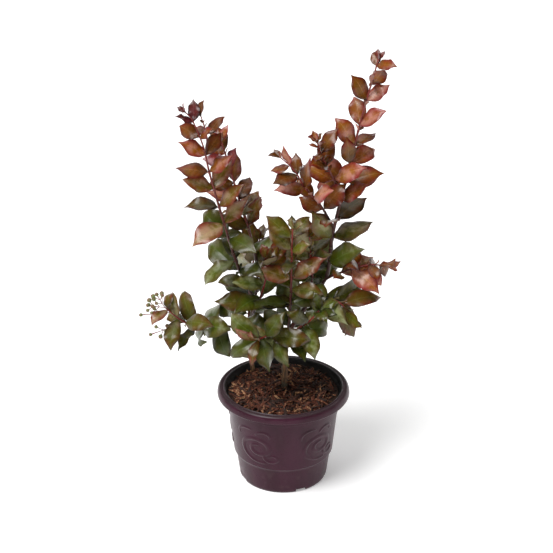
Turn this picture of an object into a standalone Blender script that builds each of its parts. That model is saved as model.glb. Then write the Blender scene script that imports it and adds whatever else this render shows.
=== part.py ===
"""Potted crape myrtle: a round plastic pot of bark mix, two stems, their boughs and their leafy shoots.

Metres, +Z up. The pot stands on its flat underside, the origin is at the middle of it, and -Y is the front.
The plant's own numbers are in millimetres and are scaled when a mesh is made. Leaves stand in pairs along a
shoot by a seeded rule. One that would touch what already stands there is turned or made smaller, or else
left out.
"""

import math
import random

import bmesh
import bpy
import numpy as np
from mathutils.bvhtree import BVHTree

MM = 0.001
GAP = 0.3  # millimetres between pieces that touch

# The pot, in metres
POT_HEIGHT = 0.1504
RIM_RADIUS = 0.1000
RIM_SKIRT = 0.0115  # how far the rim's outer face reaches down
RIM_ROUND = 0.0095  # height of the rounded part of that face
RIM_WALL = 0.0018
RIM_FLAT_RADIUS = 0.0950  # where the rim starts to round over
MOUTH_RADIUS = 0.0884
COLLAR_RADIUS = 0.0853  # the body just under the rim
COLLAR_STEP_RADIUS = 0.0886  # the wall widens to this inside the rim
COLLAR_STEP_HEIGHT = 0.1428
LEDGE_HEIGHT = 0.0460
LEDGE_RADIUS = 0.0757
LEDGE_DEPTH = 0.0036
FOOT_RADIUS = 0.0652
WALL = 0.0017
FLOOR = 0.0020
FOOT_WIDENING = 0.0014  # the body over the foot
TURN_STEPS = 44
NOTCHES = 4
NOTCH_TURN = 24  # degrees from the front to the first one, towards +X
NOTCH_WIDTH = 0.016
NOTCH_HEIGHT = 0.005
NOTCH_REACH = 0.042  # its inner end, from the pot's axis
CHANNEL_WALL = 0.0018
SOIL_LEVEL = 0.1348
SOIL_CROWN = 0.0004  # how much higher the mix stands in the middle
ROOF_LIFT = 0.0005  # the channel roofs start this far above the underside
NOTCH_CUT = 0.040  # length of a notch's cutter, out past the foot
# Millimetres below the soil, above the rim and outside it that are kept free of leaves
RIM_KEEP_OUT = (4.0, 2.0, 1.0)

# Stems, in millimetres
PATH_STEP = 12.0
FLARE_HEIGHT = 7.0
FLARE = 1.5  # the foot's radius over the stem's
LIMB_BEVEL = 2  # a tube of 8 sides
SHOOT_BEVEL = 0  # a tube of 4 sides
TRIM_STEP = 0.1
RIM_PLACES = 12  # places round a tube's end that are kept clear

# Leaves: rows across a blade, as shares of its length, and half its width there over its breadth
STATIONS = np.array([0.0, 0.10, 0.36, 0.72, 1.0])
HALF_WIDTHS = np.array([0.03, 0.05, 0.46, 0.42, 0.0])
STALK_ROW = 1
BLADE_ROW = 2
THICKNESS = 1 / 45  # at the midrib, over the length
BREADTH = (0.50, 0.62)  # over the length
FOLD = (8, 24)  # degrees by which each half is raised
LIGHT = np.array([-0.25, -0.75, 0.60])  # where the blades turn their faces
CLEARANCE = 0.7  # kept round a blade that is tried
# Turns in degrees and sizes that are tried for each leaf
RETRIES = (
    (0, 1.0), (18, 1.0), (-18, 1.0), (36, 0.94), (-36, 0.94),
    (54, 0.86), (-54, 0.86), (12, 0.72), (-12, 0.72),
)

# Flower buds at the end of the low left shoot
BUD_RADIUS = 2.7
BUD_STALK_RADIUS = 0.55
BUD_SIDE_REACH = 12
BUD_ROWS = 5
BUD_SHOOT = "low_left_shoot"
BUD_TURN = 1.2  # heading of the first side stalks, in radians
BUD_POLE = 0.08  # radius at a bud's two ends
# Share of the shoot where a spray starts, its direction, its length and its pairs of side stalks
BUD_SPRAYS = ((1.0, (-0.80, -0.25, 0.45), 27, 4), (0.62, (-0.75, -0.45, -0.50), 33, 1))

# Axes: smooth paths through a few places, from the foot or the bearing axis to the tip. Each is cut into
# nodes, given by name, the radius at its end and the places it passes.
AXES = {
    "main": {
        "bearer": None, "start": (2, 12, 135.3), "radius": 4.7,
        "nodes": (
            ("trunk", 3.9, ((2, 12, 141), (2, 12, 150), (2, 12, 172), (3, 13, 197), (5, 13, 228))),
            ("right_bough", 2.3, ((25, 14, 262), (42, 16, 291), (64, 20, 324))),
            ("right_leader_shoot", 0.6, ((72, 26, 389), (91, 34, 475), (111, 42, 562), (134, 50, 650))),
        ),
    },
    "second": {
        "bearer": None, "start": (-47, 61, 135.3), "radius": 3.4,
        "nodes": (
            ("second_stem", 2.6,
             ((-47, 61, 141), (-48, 61, 150), (-52, 58, 177), (-53, 53, 215), (-46, 44, 262))),
            ("left_bough", 2.0, ((-50, 36, 292),)),
            ("left_leader_shoot", 0.5,
             ((-68, 24, 339), (-88, 8, 420), (-105, -4, 494), (-113, -8, 537), (-127, -12, 577),
              (-139, -14, 593))),
        ),
    },
    "left_centre": {
        "bearer": "second", "start": (-47, 46, 255), "radius": 2.1,
        "nodes": (
            ("left_centre_bough", 1.9, ((-41, 43, 285), (-39, 44, 312))),
            ("left_centre_shoot", 0.5,
             ((-42, 45, 345), (-53, 47, 393), (-65, 50, 432), (-80, 54, 487), (-91, 56, 524))),
        ),
    },
    "centre": {
        "bearer": "main", "start": (4, 13, 219), "radius": 2.1,
        "nodes": (
            ("centre_bough", 1.7, ((7, 9, 245), (9, 7, 266))),
            ("centre_shoot", 0.5, ((11, 5, 307), (12, 0, 375), (13, -2, 410))),
        ),
    },
    "low_left": {
        "bearer": "second", "start": (-53, 54, 211), "radius": 2.1,
        "nodes": (
            ("low_left_bough", 1.7, ((-66, 48, 220), (-89, 40, 230))),
            ("low_left_shoot", 0.6, ((-126, 26, 233), (-154, 14, 254), (-176, 5, 279))),
        ),
    },
    "right_branch": {
        "bearer": "main", "start": (74, 27, 398), "radius": 1.5,
        "nodes": (
            ("right_branch_shoot", 0.4, ((52, 14, 441), (30, 4, 471), (15, -4, 500), (-5, -9, 522))),
        ),
    },
    "upper_sprig": {
        "bearer": "main", "start": (85, 31, 446), "radius": 1.3,
        "nodes": (("upper_sprig_shoot", 0.4, ((68, 22, 484), (54, 16, 515), (47, 12, 537))),),
    },
    "left_top": {
        "bearer": "second", "start": (-111, -7, 525), "radius": 0.9,
        "nodes": (("left_top_shoot", 0.4, ((-108, -8, 545), (-110, -6, 562), (-116, -5, 582))),),
    },
    "right_side": {
        "bearer": "main", "start": (60, 19, 318), "radius": 1.6,
        "nodes": (
            ("right_side_shoot", 0.5, ((74, 15, 327), (93, 8, 338), (123, -2, 352), (152, -7, 352))),
        ),
    },
    "low_right": {
        "bearer": "main", "start": (36, 15, 281), "radius": 1.6,
        "nodes": (("low_right_shoot", 0.6, ((48, 10, 288), (65, 3, 294), (85, -6, 290), (98, -12, 268))),),
    },
    "front_low": {
        "bearer": "main", "start": (3, 13, 208), "radius": 1.6,
        "nodes": (("front_low_shoot", 0.6, ((-8, -2, 232), (-22, -22, 246), (-36, -42, 250))),),
    },
    "front_right": {
        "bearer": "main", "start": (4, 13, 222), "radius": 1.6,
        "nodes": (("front_right_shoot", 0.6, ((20, -2, 246), (38, -18, 268), (52, -28, 290))),),
    },
    "inner_left": {
        "bearer": "second", "start": (-49, 48, 243), "radius": 1.7,
        "nodes": (("inner_left_shoot", 0.5, ((-38, 26, 276), (-28, 12, 315), (-22, 4, 358))),),
    },
    "inner_right": {
        "bearer": "main", "start": (38, 16, 284), "radius": 1.7,
        "nodes": (("inner_right_shoot", 0.5, ((42, 25, 312), (40, 28, 350), (38, 24, 385))),),
    },
    "back_left": {
        "bearer": "second", "start": (-53, 55, 205), "radius": 1.7,
        "nodes": (("back_left_shoot", 0.5, ((-52, 76, 250), (-48, 96, 300), (-36, 106, 345))),),
    },
    "back_right": {
        "bearer": "main", "start": (3, 13, 195), "radius": 1.8,
        "nodes": (("back_right_shoot", 0.5, ((16, 38, 242), (30, 62, 288), (36, 80, 332))),),
    },
}

# How the leaves stand on each shoot. seeds: one for each pair from the foot up, and one for the tip's tuft.
# bare: share of the shoot below the first pair. crowd: over 1 brings the pairs closer towards the tip. first
# and turn: the first pair's heading and the step to the next, in degrees round the stem from +X. leaf, spread
# and droop: length, angle from the stem and bend, each at the shoot's foot and tip. lit: how far faces turn
# to the light. tumble: how far they stray from that. tuft: leaves at the tip.
STYLE = {"bare": 0.0, "crowd": 1.1, "first": 0, "turn": 60, "leaf": (54, 42), "spread": (60, 42),
         "droop": (30, 8), "lit": 0.7, "tumble": 0.25, "tuft": 3}
SHOOTS = {
    "right_leader_shoot": {"leaf": (64, 32), "droop": (20, 0), "first": -40, "turn": 50,
        "seeds": (735, 124, 495, 516, 122, 699, 570, 568, 857, 106, 647, 881)},
    "left_leader_shoot": {"leaf": (70, 30), "spread": (68, 46), "droop": (38, 0), "bare": 0.04,
        "first": -40, "turn": 90, "seeds": (520, 535, 364, 344, 871, 276, 36, 309, 138, 353, 489)},
    "left_centre_shoot": {"leaf": (58, 36), "droop": (20, 0), "first": 40, "turn": 80,
        "seeds": (824, 731, 243, 929, 946, 658, 676, 761, 914)},
    "centre_shoot": {"leaf": (54, 42), "droop": (25, 5), "first": 10, "turn": 80,
        "seeds": (136, 369, 100, 92, 267, 416, 125)},
    "low_left_shoot": {"leaf": (62, 38), "spread": (65, 50), "droop": (55, 20), "turn": 60, "first": -10,
        "seeds": (400, 395, 232, 213, 405, 526, 356)},
    "right_branch_shoot": {"leaf": (56, 32), "droop": (15, 0), "bare": 0.12, "first": 10, "turn": 90,
        "seeds": (88, 618, 359, 395, 215, 361)},
    "upper_sprig_shoot": {"leaf": (52, 38), "droop": (15, 0), "bare": 0.15, "first": 20, "turn": 90,
        "seeds": (281, 309, 944, 125)},
    "left_top_shoot": {"leaf": (34, 36), "bare": 0.2, "tuft": 2, "first": 10, "turn": 70,
        "seeds": (890, 746)},
    "right_side_shoot": {"leaf": (54, 38), "droop": (35, 10), "turn": 60, "bare": 0.08, "first": 30,
        "seeds": (826, 10, 944, 377, 592, 612)},
    "low_right_shoot": {"leaf": (60, 50), "droop": (35, 25), "turn": 60, "bare": 0.1, "first": 40,
        "seeds": (9, 309, 958, 986, 932)},
    "front_low_shoot": {"leaf": (58, 48), "droop": (50, 30), "turn": 70, "bare": 0.1, "first": 40,
        "seeds": (913, 559, 258, 22, 233, 212)},
    "front_right_shoot": {"leaf": (56, 44), "droop": (40, 20), "turn": 90, "bare": 0.12, "first": 10,
        "seeds": (121, 584, 316, 990, 879)},
    "inner_left_shoot": {"leaf": (54, 44), "turn": 60, "bare": 0.12, "first": 30,
        "seeds": (624, 658, 516, 857, 270, 894)},
    "inner_right_shoot": {"leaf": (52, 42), "turn": 80, "bare": 0.12, "first": 0,
        "seeds": (152, 395, 801, 658, 231, 715)},
    "back_left_shoot": {"leaf": (54, 42), "turn": 90, "bare": 0.1, "first": 40,
        "seeds": (400, 177, 321, 233, 633, 885, 271)},
    "back_right_shoot": {"leaf": (54, 42), "turn": 80, "bare": 0.1, "first": -10,
        "seeds": (578, 667, 55, 281, 296, 244, 327)},
}

POT_COLOUR = (0.075, 0.028, 0.052)
SOIL_COLOUR = (0.060, 0.026, 0.015)
TRUNK_COLOUR = (0.18, 0.11, 0.06)
BOUGH_COLOUR = (0.09, 0.035, 0.030)
COPPER = (0.27, 0.060, 0.022)
BRONZE = (0.14, 0.085, 0.022)
GREEN = (0.060, 0.105, 0.022)
SHOOT_COLOURS = {
    "right_leader_shoot": COPPER, "right_branch_shoot": COPPER, "upper_sprig_shoot": COPPER,
    "left_top_shoot": COPPER, "left_leader_shoot": BRONZE, "left_centre_shoot": BRONZE,
    "right_side_shoot": BRONZE,
}


# Scene and materials

def clear_scene():
    for obj in list(bpy.data.objects):
        bpy.data.objects.remove(obj, do_unlink=True)


def collection_named(name, hidden=False):
    group = bpy.data.collections.new(name)
    group.hide_render = hidden
    bpy.context.scene.collection.children.link(group)
    return group


def material(name, colour, roughness):
    made = bpy.data.materials.new(name)
    made.use_nodes = True
    shader = made.node_tree.nodes["Principled BSDF"]
    shader.inputs["Base Color"].default_value = (*colour, 1.0)
    shader.inputs["Roughness"].default_value = roughness
    shader.inputs["Metallic"].default_value = 0.0
    return made


def mesh_object(name, verts, faces, group, finish):
    """An object with its faces turned outwards."""
    shape = bmesh.new()
    points = [shape.verts.new(vert) for vert in verts]
    for face in faces:
        shape.faces.new([points[i] for i in face])
    bmesh.ops.recalc_face_normals(shape, faces=shape.faces)
    data = bpy.data.meshes.new(name)
    shape.to_mesh(data)
    shape.free()
    data.materials.append(finish)
    obj = bpy.data.objects.new(name, data)
    group.objects.link(obj)
    return obj


def turned(name, profile, group, finish):
    """A closed profile of (radius, height), starting and ending on the axis, turned round Z."""
    data = bpy.data.meshes.new(name)
    points = [(radius, 0.0, height) for radius, height in profile]
    data.from_pydata(points, [(i, i + 1) for i in range(len(points) - 1)], [])
    data.materials.append(finish)
    obj = bpy.data.objects.new(name, data)
    group.objects.link(obj)
    screw = obj.modifiers.new("Turn", "SCREW")
    screw.axis = "Z"
    screw.steps = screw.render_steps = TURN_STEPS
    screw.use_merge_vertices = True
    screw.merge_threshold = 0.00005
    screw.use_smooth_shade = True
    return obj


def finished_mesh(obj):
    """The object's mesh as its modifiers leave it."""
    graph = bpy.context.evaluated_depsgraph_get()
    return bpy.data.meshes.new_from_object(obj.evaluated_get(graph))


def apply_modifiers(obj):
    done = finished_mesh(obj)
    obj.modifiers.clear()
    obj.data = done


# The pot and its soil

def body_radius(height):
    """The body's outer radius between the foot and the rim."""
    if height >= LEDGE_HEIGHT:
        share = (height - LEDGE_HEIGHT) / (POT_HEIGHT - RIM_SKIRT - LEDGE_HEIGHT)
        return LEDGE_RADIUS + (COLLAR_RADIUS - LEDGE_RADIUS) * share
    foot = FOOT_RADIUS + FOOT_WIDENING
    share = height / (LEDGE_HEIGHT - LEDGE_DEPTH)
    return foot + (LEDGE_RADIUS - LEDGE_DEPTH - foot) * share


def pot_profile():
    """Radius and height from the floor's middle up the inside, over the rim and down to the foot's middle.

    The small offsets round over the edges of the rim, the ledge and the foot.
    """
    skirt = POT_HEIGHT - RIM_SKIRT
    rounding = [
        (
            RIM_FLAT_RADIUS + (RIM_RADIUS - RIM_FLAT_RADIUS) * math.sin(turn),
            POT_HEIGHT - 0.0004 - RIM_ROUND * (1 - math.cos(turn)),
        )
        for turn in (math.radians(degrees) for degrees in range(0, 91, 15))
    ]
    inside = [
        (COLLAR_STEP_RADIUS - WALL, COLLAR_STEP_HEIGHT),
        (body_radius(skirt) - WALL, skirt - 0.001),
        (body_radius(LEDGE_HEIGHT) - WALL, LEDGE_HEIGHT + 0.001),
        (LEDGE_RADIUS - LEDGE_DEPTH - WALL, LEDGE_HEIGHT - LEDGE_DEPTH - 0.001),
        (FOOT_RADIUS - 0.0022, FLOOR + 0.0020),
        (FOOT_RADIUS - 0.0045, FLOOR),
        (0.0, FLOOR),
    ]
    outside = [
        (RIM_RADIUS - 0.0004, skirt),
        (RIM_RADIUS - RIM_WALL, skirt),
        (RIM_RADIUS - RIM_WALL - 0.0006, POT_HEIGHT - 0.0050),
        (RIM_FLAT_RADIUS - 0.0030, POT_HEIGHT - 0.0026),
        (MOUTH_RADIUS + 0.0016, POT_HEIGHT - 0.0036),
        (COLLAR_STEP_RADIUS, COLLAR_STEP_HEIGHT),
        (COLLAR_RADIUS, skirt),
        (LEDGE_RADIUS, LEDGE_HEIGHT + 0.0006),
        (LEDGE_RADIUS - 0.0008, LEDGE_HEIGHT - 0.0006),
        (LEDGE_RADIUS - LEDGE_DEPTH + 0.0004, LEDGE_HEIGHT - LEDGE_DEPTH * 0.8),
        (LEDGE_RADIUS - LEDGE_DEPTH, LEDGE_HEIGHT - LEDGE_DEPTH - 0.001),
        (body_radius(0.004), 0.0040),
        (FOOT_RADIUS + 0.0006, 0.0010),
        (FOOT_RADIUS - 0.0006, 0.0),
        (0.0, 0.0),
    ]
    lip = [
        (MOUTH_RADIUS, POT_HEIGHT - 0.0012),
        (MOUTH_RADIUS + 0.0010, POT_HEIGHT),
        (MOUTH_RADIUS + 0.0026, POT_HEIGHT - 0.0004),
    ]
    return inside[::-1] + lip + rounding + outside


def box(name, size, centre, turn, group):
    shape = bmesh.new()
    bmesh.ops.create_cube(shape, size=1.0)
    bmesh.ops.scale(shape, vec=size, verts=shape.verts)
    bmesh.ops.translate(shape, vec=centre, verts=shape.verts)
    data = bpy.data.meshes.new(name)
    shape.to_mesh(data)
    shape.free()
    obj = bpy.data.objects.new(name, data)
    obj.rotation_euler[2] = turn
    obj.hide_render = True
    obj.display_type = "WIRE"
    group.objects.link(obj)
    return obj


def boolean(obj, operation, others):
    change = obj.modifiers.new(operation.title(), "BOOLEAN")
    change.operation = operation
    change.operand_type = "COLLECTION"
    change.collection = others
    change.solver = "EXACT"


def add_pot(group):
    """The pot, with a raised channel in its floor behind each drain notch."""
    pot = turned("pot", pot_profile(), group, material("pot plastic", POT_COLOUR, 0.42))
    roofs = collection_named("channel roofs", hidden=True)
    cuts = collection_named("drain notches", hidden=True)
    for number in range(NOTCHES):
        turn = math.radians(NOTCH_TURN - 90 + 360 / NOTCHES * number)
        start = NOTCH_REACH - CHANNEL_WALL
        end = FOOT_RADIUS - 0.0010
        roof = (end - start, NOTCH_WIDTH + 2 * CHANNEL_WALL, NOTCH_HEIGHT + CHANNEL_WALL - ROOF_LIFT)
        box(f"roof_{number}", roof, ((start + end) / 2, 0, roof[2] / 2 + ROOF_LIFT), turn, roofs)
        cut = (NOTCH_CUT, NOTCH_WIDTH, 2 * NOTCH_HEIGHT)
        box(f"notch_{number}", cut, (NOTCH_REACH + cut[0] / 2, 0, 0), turn, cuts)
    boolean(pot, "UNION", roofs)
    boolean(pot, "DIFFERENCE", cuts)
    return pot


def add_soil(group):
    """The bark mix: a plug that clears the pot's inside and rests on the channel roofs."""
    clear = WALL + GAP * MM
    bottom = NOTCH_HEIGHT + CHANNEL_WALL + GAP * MM
    profile = [
        (0.0, SOIL_LEVEL + SOIL_CROWN),
        (body_radius(SOIL_LEVEL) * 0.6, SOIL_LEVEL + SOIL_CROWN * 0.7),
        (body_radius(SOIL_LEVEL) - clear, SOIL_LEVEL),
        (body_radius(LEDGE_HEIGHT) - clear, LEDGE_HEIGHT + 0.0012),
        (LEDGE_RADIUS - LEDGE_DEPTH - clear, LEDGE_HEIGHT - LEDGE_DEPTH - 0.0006),
        (FOOT_RADIUS - 0.0004 - clear, bottom),
        (0.0, bottom),
    ]
    return turned("soil", profile, group, material("bark mix", SOIL_COLOUR, 0.95))


# Paths, in millimetres

def unit(vector):
    return vector / np.linalg.norm(vector)


def smooth(route):
    """Points along a Catmull-Rom curve through the route, and which of them are the route's own."""
    route = np.array(route, float)
    ends = np.vstack([2 * route[0] - route[1], route, 2 * route[-1] - route[-2]])
    path, marks = [], [0]
    for a, b, c, d in zip(ends, ends[1:], ends[2:], ends[3:]):
        count = max(2, round(np.linalg.norm(c - b) / PATH_STEP))
        t = np.arange(count)[:, None] / count
        cubic = (3 * b - a - 3 * c + d) * t**3
        path.append(0.5 * (2 * b + (c - a) * t + (2 * a - 5 * b + 4 * c - d) * t**2 + cubic))
        marks.append(marks[-1] + count)
    return np.vstack([*path, route[-1:]]), marks


def reaches(path):
    """Each point's distance along the path."""
    return np.concatenate([[0.0], np.cumsum(np.linalg.norm(np.diff(path, axis=0), axis=1))])


def along(path, share):
    """The place and the direction at a share of the path's length."""
    reach = reaches(path)
    want = share * reach[-1]
    i = min(max(int(np.searchsorted(reach, want)) - 1, 0), len(path) - 2)
    step = path[i + 1] - path[i]
    return path[i] + step * (want - reach[i]) / (reach[i + 1] - reach[i]), unit(step)


def onto_segments(path, place):
    """The closest place on each of the path's segments, and the share of the segment there."""
    step = np.diff(path, axis=0)
    share = np.clip(((place - path[:-1]) * step).sum(axis=1) / (step**2).sum(axis=1), 0, 1)
    return path[:-1] + share[:, None] * step, share


def nearest(path, place):
    spots, _ = onto_segments(path, place)
    return spots[np.argmin(np.linalg.norm(spots - place, axis=1))]


def clearance_from(path, radii, place):
    """How far a place is outside the tube round a path."""
    spots, share = onto_segments(path, place)
    radius = radii[:-1] + (radii[1:] - radii[:-1]) * share
    return (np.linalg.norm(spots - place, axis=1) - radius).min()


def heading(ahead, turn):
    """The direction square to `ahead` at an angle round it, from +X."""
    right = unit(np.array([1.0, 0.0, 0.0]) - ahead * ahead[0])
    return math.cos(turn) * right + math.sin(turn) * np.cross(ahead, right)


def ring(ahead, count):
    return np.array([heading(ahead, 2 * math.pi * i / count) for i in range(count)])


def trimmed(path, radii, is_clear):
    """The path with its start moved on until the whole of the tube's end is clear."""
    reach = reaches(path)
    for start in np.arange(0.0, reach[-1] / 2, TRIM_STEP):
        place, ahead = along(path, start / reach[-1])
        radius = np.interp(start, reach, radii)
        if all(is_clear(spot) for spot in place + radius * ring(ahead, RIM_PLACES)):
            break
    rest = reach > start + 1.0
    return np.vstack([place, path[rest]]), np.concatenate([[radius], radii[rest]])


def stems():
    """{node: (path, radii)} of every axis, each end clear of what it stands on."""
    axes, nodes = {}, {}
    for name, axis in AXES.items():
        start = np.array(axis["start"], float)
        if axis["bearer"]:
            start = nearest(axes[axis["bearer"]][0], start)
        route = [start] + [place for _, _, places in axis["nodes"] for place in places]
        path, marks = smooth(route)
        radii = np.empty(len(path))
        pieces = []
        first, radius, passed = 0, axis["radius"], 0
        for node, end_radius, places in axis["nodes"]:
            passed += len(places)
            last = marks[passed]
            reach = reaches(path[first:last + 1])
            radii[first:last + 1] = radius + (end_radius - radius) * reach / reach[-1]
            pieces.append((node, first, last))
            first, radius = last, end_radius
        axes[name] = (path, radii)
        for node, first, last in pieces:
            piece, widths = path[first:last + 1], radii[first:last + 1].copy()
            if first:
                end, ahead = path[first], unit(path[first] - path[first - 1])
                piece, widths = trimmed(piece, widths, lambda spot: (spot - end) @ ahead >= GAP)
            elif axis["bearer"]:
                bearer = axes[axis["bearer"]]
                piece, widths = trimmed(piece, widths, lambda spot: clearance_from(*bearer, spot) >= GAP)
            else:
                height = reaches(piece)
                widths *= 1 + (FLARE - 1) * np.exp(-(height / FLARE_HEIGHT) ** 1.5)
            nodes[node] = (piece, widths)
    return nodes


def tube(path, radii, sides=6):
    """Rings of places round a path, joined by triangles."""
    tangents = np.gradient(path, axis=0)
    rings = np.vstack([
        place + radius * ring(unit(tangent), sides) for place, radius, tangent in zip(path, radii, tangents)
    ])
    faces = []
    for i in range(len(path) - 1):
        for j in range(sides):
            a, b = i * sides + j, i * sides + (j + 1) % sides
            faces += [(a, b, b + sides), (a, b + sides, a + sides)]
    return rings, faces


# Leaves

def mix(pair, share):
    return pair[0] + (pair[1] - pair[0]) * share


def drawn_leaf(rng, at, stem, turn, length, spread, droop):
    """One leaf's numbers. The order of the draws is part of the rule."""
    return {
        "at": at, "stem": stem, "turn": turn, "length": length, "spread": spread, "droop": droop,
        "stray": np.array([rng.uniform(-1, 1) for _ in range(3)]),
        "breadth": rng.uniform(*BREADTH),
        "fold": math.radians(rng.uniform(*FOLD)),
    }


def pair_of_leaves(path, style, number, seed):
    rng = random.Random(seed)
    count = len(style["seeds"]) - 1
    share = (number + 0.6 + rng.uniform(-0.2, 0.2)) / (count + 0.4)
    share = style["bare"] + (1 - style["bare"]) * (1 - (1 - share) ** style["crowd"])
    at, ahead = along(path, share)
    base = style["first"] + number * style["turn"] + rng.uniform(-30, 30)
    leaves = []
    for side in (0, 180):
        turn = math.radians(base + side + rng.uniform(-20, 20))
        length = mix(style["leaf"], share) * rng.uniform(0.80, 1.20)
        spread = math.radians(mix(style["spread"], share) + rng.uniform(-18, 18))
        droop = math.radians(mix(style["droop"], share) + rng.uniform(-20, 25))
        leaves.append(drawn_leaf(rng, at, ahead, turn, length, spread, droop))
    return leaves


def tuft_of_leaves(path, style, seed):
    rng = random.Random(seed)
    at, ahead = along(path, 0.99)
    first = rng.uniform(0, 360)
    leaves = []
    for number in range(style["tuft"]):
        turn = math.radians(first + number * 137.5)
        length = style["leaf"][1] * rng.uniform(0.5, 0.8)
        spread = math.radians(rng.uniform(18, 42))
        leaves.append(drawn_leaf(rng, at, ahead, turn, length, spread, 0.15))
    return leaves


def blade(leaf, style, turned_by=0.0, scale=1.0):
    """Rows of (left edge, midrib, right edge) from the root to the tip, and each row's upward direction."""
    stem, turn = leaf["stem"], leaf["turn"] + math.radians(turned_by)
    ahead = math.cos(leaf["spread"]) * stem + math.sin(leaf["spread"]) * heading(stem, turn)
    own = unit(stem - ahead * (ahead @ stem))
    face = own * (1 - style["lit"]) + LIGHT * style["lit"] + leaf["stray"] * style["tumble"]
    face = unit(face - ahead * (face @ ahead))
    side = np.cross(ahead, face)
    length = leaf["length"] * scale
    bend = (leaf["droop"] * STATIONS**1.3)[:, None]
    tangent = np.cos(bend) * ahead - np.sin(bend) * face
    up = np.cos(bend) * face + np.sin(bend) * ahead
    steps = tangent[:-1] + tangent[1:]
    steps *= (np.diff(STATIONS) * length / np.linalg.norm(steps, axis=1))[:, None]
    midrib = leaf["at"] + np.vstack([np.zeros(3), np.cumsum(steps, axis=0)])
    half = (HALF_WIDTHS * length * leaf["breadth"])[:, None]
    lift = up * half * math.sin(leaf["fold"])
    out = side * half * math.cos(leaf["fold"])
    return np.stack([midrib - out + lift, midrib, midrib + out + lift], axis=1), up, length


def lens(rows, up, length, first=0, grown=0.0):
    """A closed blade, thick at the midrib and sharp at the edges, from a row to the tip."""
    half = up[first:-1] * (length * THICKNESS / 2 + grown)
    across = rows[first:-1, 2] - rows[first:-1, 0]
    across *= grown / np.linalg.norm(across, axis=1)[:, None]
    left, middle, right = (rows[first:-1, i] for i in range(3))
    verts = np.stack([left - across, middle + half, right + across, middle - half], axis=1)
    tip = rows[-1, 1] + unit(rows[-1, 1] - rows[-2, 1]) * grown
    count = len(left)
    faces = [(3, 2, 1, 0)]
    for i in range(count - 1):
        for j in range(4):
            a, b = 4 * i + j, 4 * i + (j + 1) % 4
            faces.append((a, b, b + 4, a + 4))
    last = 4 * (count - 1)
    faces += [(last + j, last + (j + 1) % 4, 4 * count) for j in range(4)]
    return np.vstack([verts.reshape(-1, 3), tip]), faces


class Standing:
    """What already stands: stems, blades and the pot's rim, each with the node that owns it."""

    def __init__(self):
        self.pieces = []

    def add(self, owner, verts, faces):
        tree = BVHTree.FromPolygons(verts, faces)
        self.pieces.append((owner, verts.min(axis=0), verts.max(axis=0), tree))

    def touched(self, own, verts, faces, owner):
        """Whether a piece touches one of its own node, or with `own` False one of another's."""
        low, high = verts.min(axis=0), verts.max(axis=0)
        tree = None
        for name, least, most, other in self.pieces:
            if (name == owner) != own or (least > high).any() or (most < low).any():
                continue
            tree = tree or BVHTree.FromPolygons(verts, faces)
            if tree.overlap(other):
                return True
        return False


def standing_limbs(nodes):
    standing = Standing()
    for node, (path, radii) in nodes.items():
        standing.add(node, *tube(path, radii))
    below, above, outside = RIM_KEEP_OUT
    bottom, top = SOIL_LEVEL / MM - below, POT_HEIGHT / MM + above
    rim = np.array([[0, 0, bottom], [0, 0, top], [0, 0, top + 0.1]])
    wide = RIM_RADIUS / MM + outside
    standing.add("pot", *tube(rim, [wide, wide, 1.0], 24))
    return standing


def placed(leaf, style, shoot, standing):
    """The first turn and size of a leaf that touches nothing, or None."""
    for turned_by, scale in RETRIES:
        rows, up, length = blade(leaf, style, turned_by, scale)
        outer = lens(rows, up, length, BLADE_ROW, CLEARANCE)
        whole = lens(rows, up, length, STALK_ROW, CLEARANCE)
        if standing.touched(True, *outer, shoot) or standing.touched(False, *whole, shoot):
            continue
        standing.add(shoot, *lens(rows, up, length, STALK_ROW))
        return rows, up, length
    return None


def foliage(nodes):
    """{shoot: blades} for every shoot, in the order in which they are listed."""
    standing = standing_limbs(nodes)
    for shoot, pieces in bud_sprays(nodes).items():
        for path, radii in pieces:
            standing.add(shoot, *tube(path, radii))
    crowns = {}
    for shoot, own in SHOOTS.items():
        style = {**STYLE, **own}
        path = nodes[shoot][0]
        *seeds, tuft_seed = style["seeds"]
        drawn = []
        for number, seed in enumerate(seeds):
            drawn += pair_of_leaves(path, style, number, seed)
        drawn += tuft_of_leaves(path, style, tuft_seed)
        found = [placed(leaf, style, shoot, standing) for leaf in drawn]
        crowns[shoot] = [blade_rows for blade_rows in found if blade_rows]
    return crowns


def bud_sprays(nodes):
    """Stalks and buds of the flower sprays, as tubes: {shoot: [(path, radii)]}."""
    pieces = []
    path = nodes[BUD_SHOOT][0]
    for share, way, length, pairs in BUD_SPRAYS:
        at, _ = along(path, share)
        way = unit(np.array(way))
        stalks = [(at, at + way * length)]
        for number in range(pairs):
            node = at + way * length * (0.35 + 0.6 * number / pairs)
            reach = BUD_SIDE_REACH * (1 - 0.5 * number / pairs)
            for side in (0, math.pi):
                out = heading(way, BUD_TURN + number * math.pi / 2 + side)
                stalks.append((node, node + unit(way + out) * reach))
        for foot, end in stalks:
            ahead = unit(end - foot)
            pieces.append((np.array([foot, end + ahead * BUD_RADIUS * 0.5]), np.full(2, BUD_STALK_RADIUS)))
            turns = np.linspace(0, math.pi, BUD_ROWS)
            centre = end + ahead * BUD_RADIUS
            bud = centre - ahead * np.cos(turns)[:, None] * BUD_RADIUS
            pieces.append((bud, np.maximum(np.sin(turns) * BUD_RADIUS, BUD_POLE)))
    return {BUD_SHOOT: pieces}


# Solids

def add_limb(name, path, radii, bevel, group, finish):
    data = bpy.data.curves.new(name, "CURVE")
    data.dimensions = "3D"
    data.bevel_depth = MM
    data.bevel_resolution = bevel
    data.use_fill_caps = True
    spline = data.splines.new("POLY")
    spline.points.add(len(path) - 1)
    for point, place, radius in zip(spline.points, path, radii):
        point.co = (*(place * MM), 1.0)
        point.radius = radius
    spline.use_smooth = True
    data.materials.append(finish)
    obj = bpy.data.objects.new(name, data)
    group.objects.link(obj)
    return obj


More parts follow.
